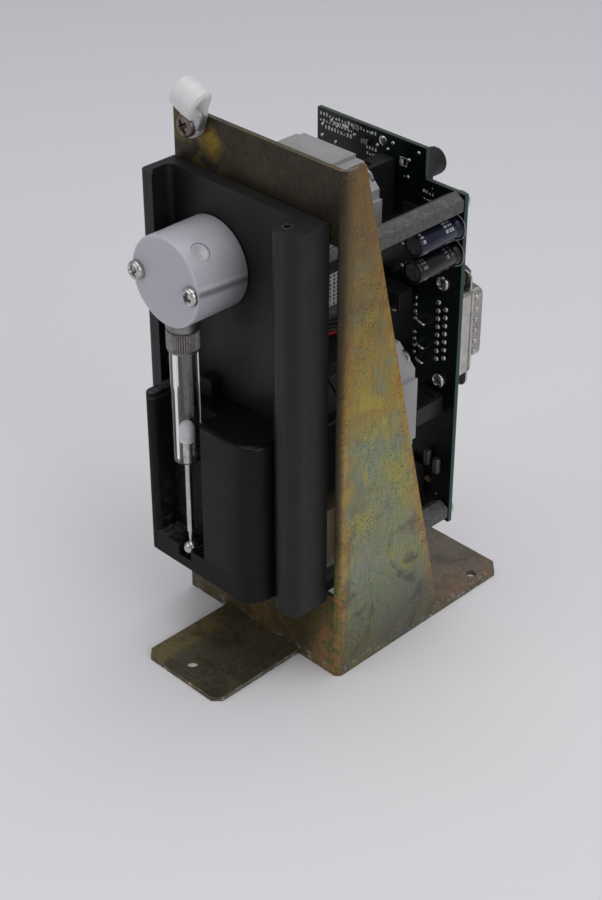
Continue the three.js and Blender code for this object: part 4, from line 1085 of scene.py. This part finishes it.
def small_parts():
    """Chip resistors and capacitors, low chips and their legs on the board's front face."""
    bodies, caps, plastics, legs = bmesh.new(), bmesh.new(), bmesh.new(), bmesh.new()
    for u, v, upright in ((44.0, 30.4, 1), (18.8, 117.6, 0), (15.4, 121.0, 0), (49.0, 12.0, 0),
                          (36.2, 90.6, 1), (39.8, 96.0, 1), (30.0, 95.0, 0)):
        low = on_board(u, v)
        length = Vector((1 - upright, 0, upright)) * 2.6
        width = Vector((upright, 0, 1 - upright)) * 1.3
        for bm, start, end, proud in ((bodies, 0.25, 0.75, 0.75), (caps, 0, 0.25, 0.8), (caps, 0.75, 1, 0.8)):
            block(bm, low + start * length - Vector((0, proud, 0)), low + end * length + width)
    # The second has no pins: it is a speck of 0.1 mm.
    for place, pins, tall in (((40.5, 6.0, 8.0, 12.0), 9, 2.0), ((48.2, 63.0, 0.1, 0.1), 0, 0.1),
                              ((25.5, 70.0, 10.0, 7.0), 6, 1.9), ((37.0, 98.5, 5.0, 6.2), 4, 1.6),
                              ((46.6, 40.6, 7.0, 5.4), 4, 3.0), ((5.0, 96.0, 7.5, 10.0), 8, 2.0)):
        chip(plastics, legs, place, pins, tall, 0.5 * tall)
    finish_piece("chip_bodies", plastics, "black_component", sharp=40)
    finish_piece("chip_legs", legs, "solder", sharp=40)
    finish_piece("chip_resistor_bodies", bodies, "ceramic", sharp=40)
    finish_piece("chip_resistor_ends", caps, "solder", sharp=40)

    clips = bmesh.new()
    bends = ((0, 0, 0), (0.1, -1.6, 0.1), (1.4, -2.3, -0.2), (2.6, -2.0, -0.7), (2.7, -0.1, -1.0))
    for v in (68.0, 59.8, 54.6):
        tube(clips, curve_points([on_board(44.6, v + 0.6) + Vector(bend) for bend in bends], 6), 0.42, 10)
    finish_piece("wire_clips", clips, "solder", sharp=60)

    heads = bmesh.new()
    for side in (-1, 1):
        screw_head(heads, (SHELL.mid.x, BOARD.low.y, SHELL.mid.z + side * 16.66), 2.3, 1.3, -1, 0.8 + side)
    finish_piece("connector_screws", heads, "turned_across", sharp=50)

    drums = bmesh.new()
    for u, v in ((50.6, 24.6), (54.4, 23.0)):
        lathe(drums, [(0, -2.6), (1.0, -2.6), (1.2, -2.3), (1.2, 2.3), (1.0, 2.6), (0, 2.6)],
              on_board(u, v) - Vector((0, 1.25, 3.0)), "Z", 24)
    finish_piece("small_diodes", drums, "can_end", slot="black_component", sharp=50)


def capacitors():
    """Each has a sleeve with a groove near the board and a dull end with three vent lines."""
    for node, look in zip(CAPACITORS, ("sleeve_navy", "sleeve_black")):
        box = Box(node)
        r = box.size.x / 2
        y0, y1 = box.low.y, box.high.y
        centre = (box.mid.x, 0, box.mid.z)
        profile = [(0, y0 + 0.9), (r - 0.9, y0 + 0.9), (r - 0.9, y0 + 0.25), (r - 0.85, y0 + 0.05),
                   (r - 0.35, y0), (r - 0.08, y0 + 0.3), (r, y0 + 0.8), (r, y1 - 3.0), (r - 0.35, y1 - 2.4),
                   (r - 0.35, y1 - 1.9), (r, y1 - 1.3), (r, y1 - 0.4), (r - 0.4, y1), (0, y1)]
        turned(node + "_sleeve", look, profile, centre, "Y", stands_for=(node,), sharp=40)
        end = bmesh.new()
        lathe(end, [(0, y0 + 0.18), (r - 1.1, y0 + 0.14), (r - 0.88, y0 + 0.3), (r - 0.88, y0 + 0.6),
                    (0, y0 + 0.6)], centre, "Y", 48)
        middle = Vector((box.mid.x, y0 + 0.12, box.mid.z))
        for line in range(3):
            angle = 0.6 + line * TAU / 3
            tube(end, [middle, middle + (r - 1.2) * Vector((math.cos(angle), 0, math.sin(angle)))], 0.08, 6)
        finish_piece(node + "_can_end", end, "can_end", sharp=40)


def d_outline(grow, steps=5):
    """The D shell's outline, grown outward from the CAD shell, with round corners."""
    x, z = SHELL.mid.x, SHELL.mid.z
    half_long, half_short, slant, corner = 12.5 + grow, 4.2 + grow, 1.1, 2.2
    corners = [(x - half_short, z - half_long), (x + half_short, z - half_long + slant),
               (x + half_short, z + half_long - slant), (x - half_short, z + half_long)]
    points = []
    for index, corner_point in enumerate(corners):
        before = Vector(corners[index - 1])
        here = Vector(corner_point)
        after = Vector(corners[(index + 1) % 4])
        start = here + (before - here).normalized() * corner
        end = here + (after - here).normalized() * corner
        for step in range(steps + 1):
            t = step / steps
            points.append(tuple((1 - t) ** 2 * start + 2 * t * (1 - t) * here + t * t * end))
    return points


def can_outline(inset, radius=1.2):
    """The connector's can: a round-cornered box as wide as the flange's middle."""
    tall = 14.1 - inset
    return rounded(SHELL.low.x + inset, SHELL.high.x - inset, SHELL.mid.z - tall, SHELL.mid.z + tall, radius)


def connector_shell():
    """The pressed can and flange, and the D with its rolled lip and its two rows of dimples."""
    flange = SHELL.low.y + 5.0
    rim = SHELL.high.y
    bm = bmesh.new()
    skin(bm, [(can_outline(0.25), SHELL.low.y + 0.1), (can_outline(0.0), SHELL.low.y + 0.4),
              (can_outline(0.0, 1.6), flange - 1.5), (can_outline(0.35, 1.6), flange - 0.8)])
    ears = rounded(SHELL.low.x + 1, SHELL.high.x - 1, SHELL.low.z, SHELL.high.z, 2.6)
    prism(bm, ears, flange - 0.75, flange)
    prism(bm, can_outline(0.0, 1.6), flange - 0.8, flange + 0.05)
    steps = ((0.45, flange), (0.0, flange + 0.6), (0.0, rim - 0.25), (-0.2, rim), (-0.5, rim),
             (-0.7, rim - 0.25), (-0.7, flange + 1.4))
    skin(bm, [(d_outline(grow), y) for grow, y in steps])
    for side in (-1, 1):
        dimple = [(0, -0.3 * side), (0.95, -0.05 * side), (0.75, 0.3 * side), (0, 0.5 * side)]
        for index in range(6):
            centre = (SHELL.mid.x + side * 4.12, rim - 2.9, SHELL.mid.z + (index - 2.5) * 3.7)
            lathe(bm, dimple, centre, "X", 16)
    finish_piece("d_shell", bm, "tin_plate", stands_for=("connector_shell",), sharp=40)


def connector():
    connector_shell()
    bm = node_mesh("connector_body")
    soften(bm, 0.15, 2, 40)
    finish_piece("connector_insulator", bm, "black_component", stands_for=("connector_body",), weighted=True)
    pins = bmesh.new()
    for u, v in connector_rows():
        spot = on_board(u, v)
        lathe(pins, [(0, 0), (0.5, 0), (0.5, 3.3), (0.42, 3.8), (0, 4.0)],
              (spot.x, SHELL.high.y - 4.6, spot.z), "Y", 16)
    finish_piece("contact_pins", pins, "gold_pin", sharp=50)

    for node in ("jack_post_upper", "jack_post_lower"):
        box = Box(node)
        steps = ((0.9, box.low.y), (0.98, box.low.y + 0.3), (0.98, box.high.y - 0.7), (0.82, box.high.y),
                 (0.5, box.high.y), (0.5, box.low.y + 0.5))
        bm = bmesh.new()
        skin(bm, [(arc((box.mid.x, box.mid.z), scale * box.size.z / 2, 0.5 / 6, 5.5 / 6, 5), y)
                  for scale, y in steps])
        finish_piece(node + "_turned", bm, "standoff_steel", slot="bright_steel", stands_for=(node,),
                     sharp=30)
    for side in ("upper", "lower"):
        refine(f"connector_bracket_{side}", "standoff_steel", width=0.4, segments=3, slot="tin_plate")


def address_switch():
    """The switch's body, and its round knob with a ridged grip and a slot."""
    refine("address_switch_body", "black_component", width=0.3, name="switch_body")
    knob = Box("address_switch_knob")
    r = knob.size.x / 2
    y0, y1 = knob.low.y, knob.high.y

    def grip(index, radius, y):
        return radius - (0.18 if radius > r - 0.2 and y0 + 0.6 < y < y1 - 0.9 and index % 3 == 0 else 0)

    profile = [(0, y0), (r - 0.2, y0), (r, y0 + 0.3), (r, y0 + 0.7), (r, y1 - 1.0), (r - 0.15, y1 - 0.45),
               (r - 0.6, y1), (1.6, y1), (1.4, y1 - 0.3), (0, y1 - 0.3)]
    piece = turned("switch_knob", "black_component", profile, (knob.mid.x, 0, knob.mid.z), "Y", 108, grip,
                   body="address_knob", stands_for=("address_switch_knob",), sharp=40)
    slot_cut = bmesh.new()
    block(slot_cut, (knob.mid.x - 0.45, y1 - 1.1, knob.mid.z - 0.2),
          (knob.mid.x + 0.45, y1 + 1, knob.mid.z + r + 1))
    carve(piece, [new_object("cutter", slot_cut)])


def board_fittings():
    for corner in ("upper_right", "lower_right", "upper_left", "lower_left"):
        refine(f"standoff_{corner}", "standoff_steel", width=0.25, angle=40, name=f"hex_standoff_{corner}")
    for node in ("terminal_block", "processor_chip", "driver_chip", "valve_position_sensor"):
        refine(node, "black_component", width=0.3)
    for node in ("valve_motor_header", "drive_motor_header"):
        refine(node, "black_component", width=0.35)
    legs = bmesh.new()
    pitch = HEADER_PITCH / 2
    for node in ("processor_chip", "driver_chip"):
        box = Box(node)
        count = int(box.size.z / pitch) - 1
        heights = [box.mid.z + (index - (count - 1) / 2) * pitch for index in range(count)]
        leg_rows(legs, box.low.x, box.high.x, heights, 1.1, box.mid.y, BOARD.low.y - 0.02, 0.22)
    finish_piece("large_chip_legs", legs, "solder", sharp=40)
    refine("lower_mount_block", "milled_block_painted_reflection", width=0.4, name="machined_block")


def inner_parts():
    """Pieces inside keep their CAD shape and take a finished material."""
    looks = {
        "guide_rail": "near_black_in_painted_shade", "guide_block": "near_black_in_painted_shade", "drive_pinion": "brass",
        "carriage_rack": "brass", "valve_motor_rotor": "turned_across", "drive_motor_rotor": "turned_across",
        "valve_plug": "white_ptfe", "valve_flag_disc": "black_moulding",
    }
    for node, look in looks.items():
        mesh = NODES[node].data
        mesh.materials.clear()
        mesh.materials.append(LOOKS[look])


# ------------------------------------------------------------------ stage, light and camera

def stage():
    size = 4000
    bm = bmesh.new()
    corners = ((-size, -size), (size, -size), (size, size), (-size, size))
    bm.faces.new([bm.verts.new((x, y, -0.05)) for x, y in corners])
    floor = new_object("floor", bm)
    floor.data.materials.append(LOOKS["floor"])


def area_light(name, place, aim, size, power, color=(1, 1, 1)):
    data = bpy.data.lights.new(name, "AREA")
    data.shape = "RECTANGLE"
    data.size, data.size_y = size
    data.energy = power
    data.color = color
    light = bpy.data.objects.new(name, data)
    light.location = place
    light.rotation_mode = "QUATERNION"
    light.rotation_quaternion = (Vector(aim) - Vector(place)).to_track_quat("-Z", "Y")
    bpy.context.scene.collection.objects.link(light)


def lights():
    world = bpy.data.worlds.new("studio")
    world.use_nodes = True
    background = world.node_tree.nodes["Background"]
    background.inputs["Color"].default_value = (0.93, 0.94, 1.0, 1)
    background.inputs["Strength"].default_value = 0.36
    bpy.context.scene.world = world
    area_light("overhead", (0.1, 0.2, 1.6), (0, 0, 0.1), (1.6, 1.6), 12, (1, 0.99, 0.97))
    area_light("right", (1.5, -0.2, 0.9), (0, 0, 0.1), (1.0, 1.0), 5.6)
    area_light("front", (-0.6, -1.5, 0.9), (0, 0, 0.1), (1.2, 0.8), 4.0)


def camera():
    data = bpy.data.cameras.new("camera")
    data.sensor_width = 36
    data.lens = 73.57
    data.clip_start, data.clip_end = 0.02, 20
    view = bpy.data.objects.new("camera", data)
    azimuth, elevation = math.radians(45.188), math.radians(33.237)
    back = Vector((math.sin(azimuth) * math.cos(elevation), -math.cos(azimuth) * math.cos(elevation),
                   math.sin(elevation)))
    view.location = (0.33171, -0.33405, 0.36650)
    view.rotation_mode = "QUATERNION"
    view.rotation_quaternion = (-back).to_track_quat("-Z", "Y")
    bpy.context.scene.collection.objects.link(view)
    bpy.context.scene.camera = view


camera()
stage()
lights()
bpy.context.scene.view_settings.view_transform = "Standard"

bracket()
front_frame()
all_screws()
valve()
syringe()
carriage()
cable_clip()
motors()
motor_leads()
board()
small_parts()
capacitors()
connector()
address_switch()
board_fittings()
inner_parts()
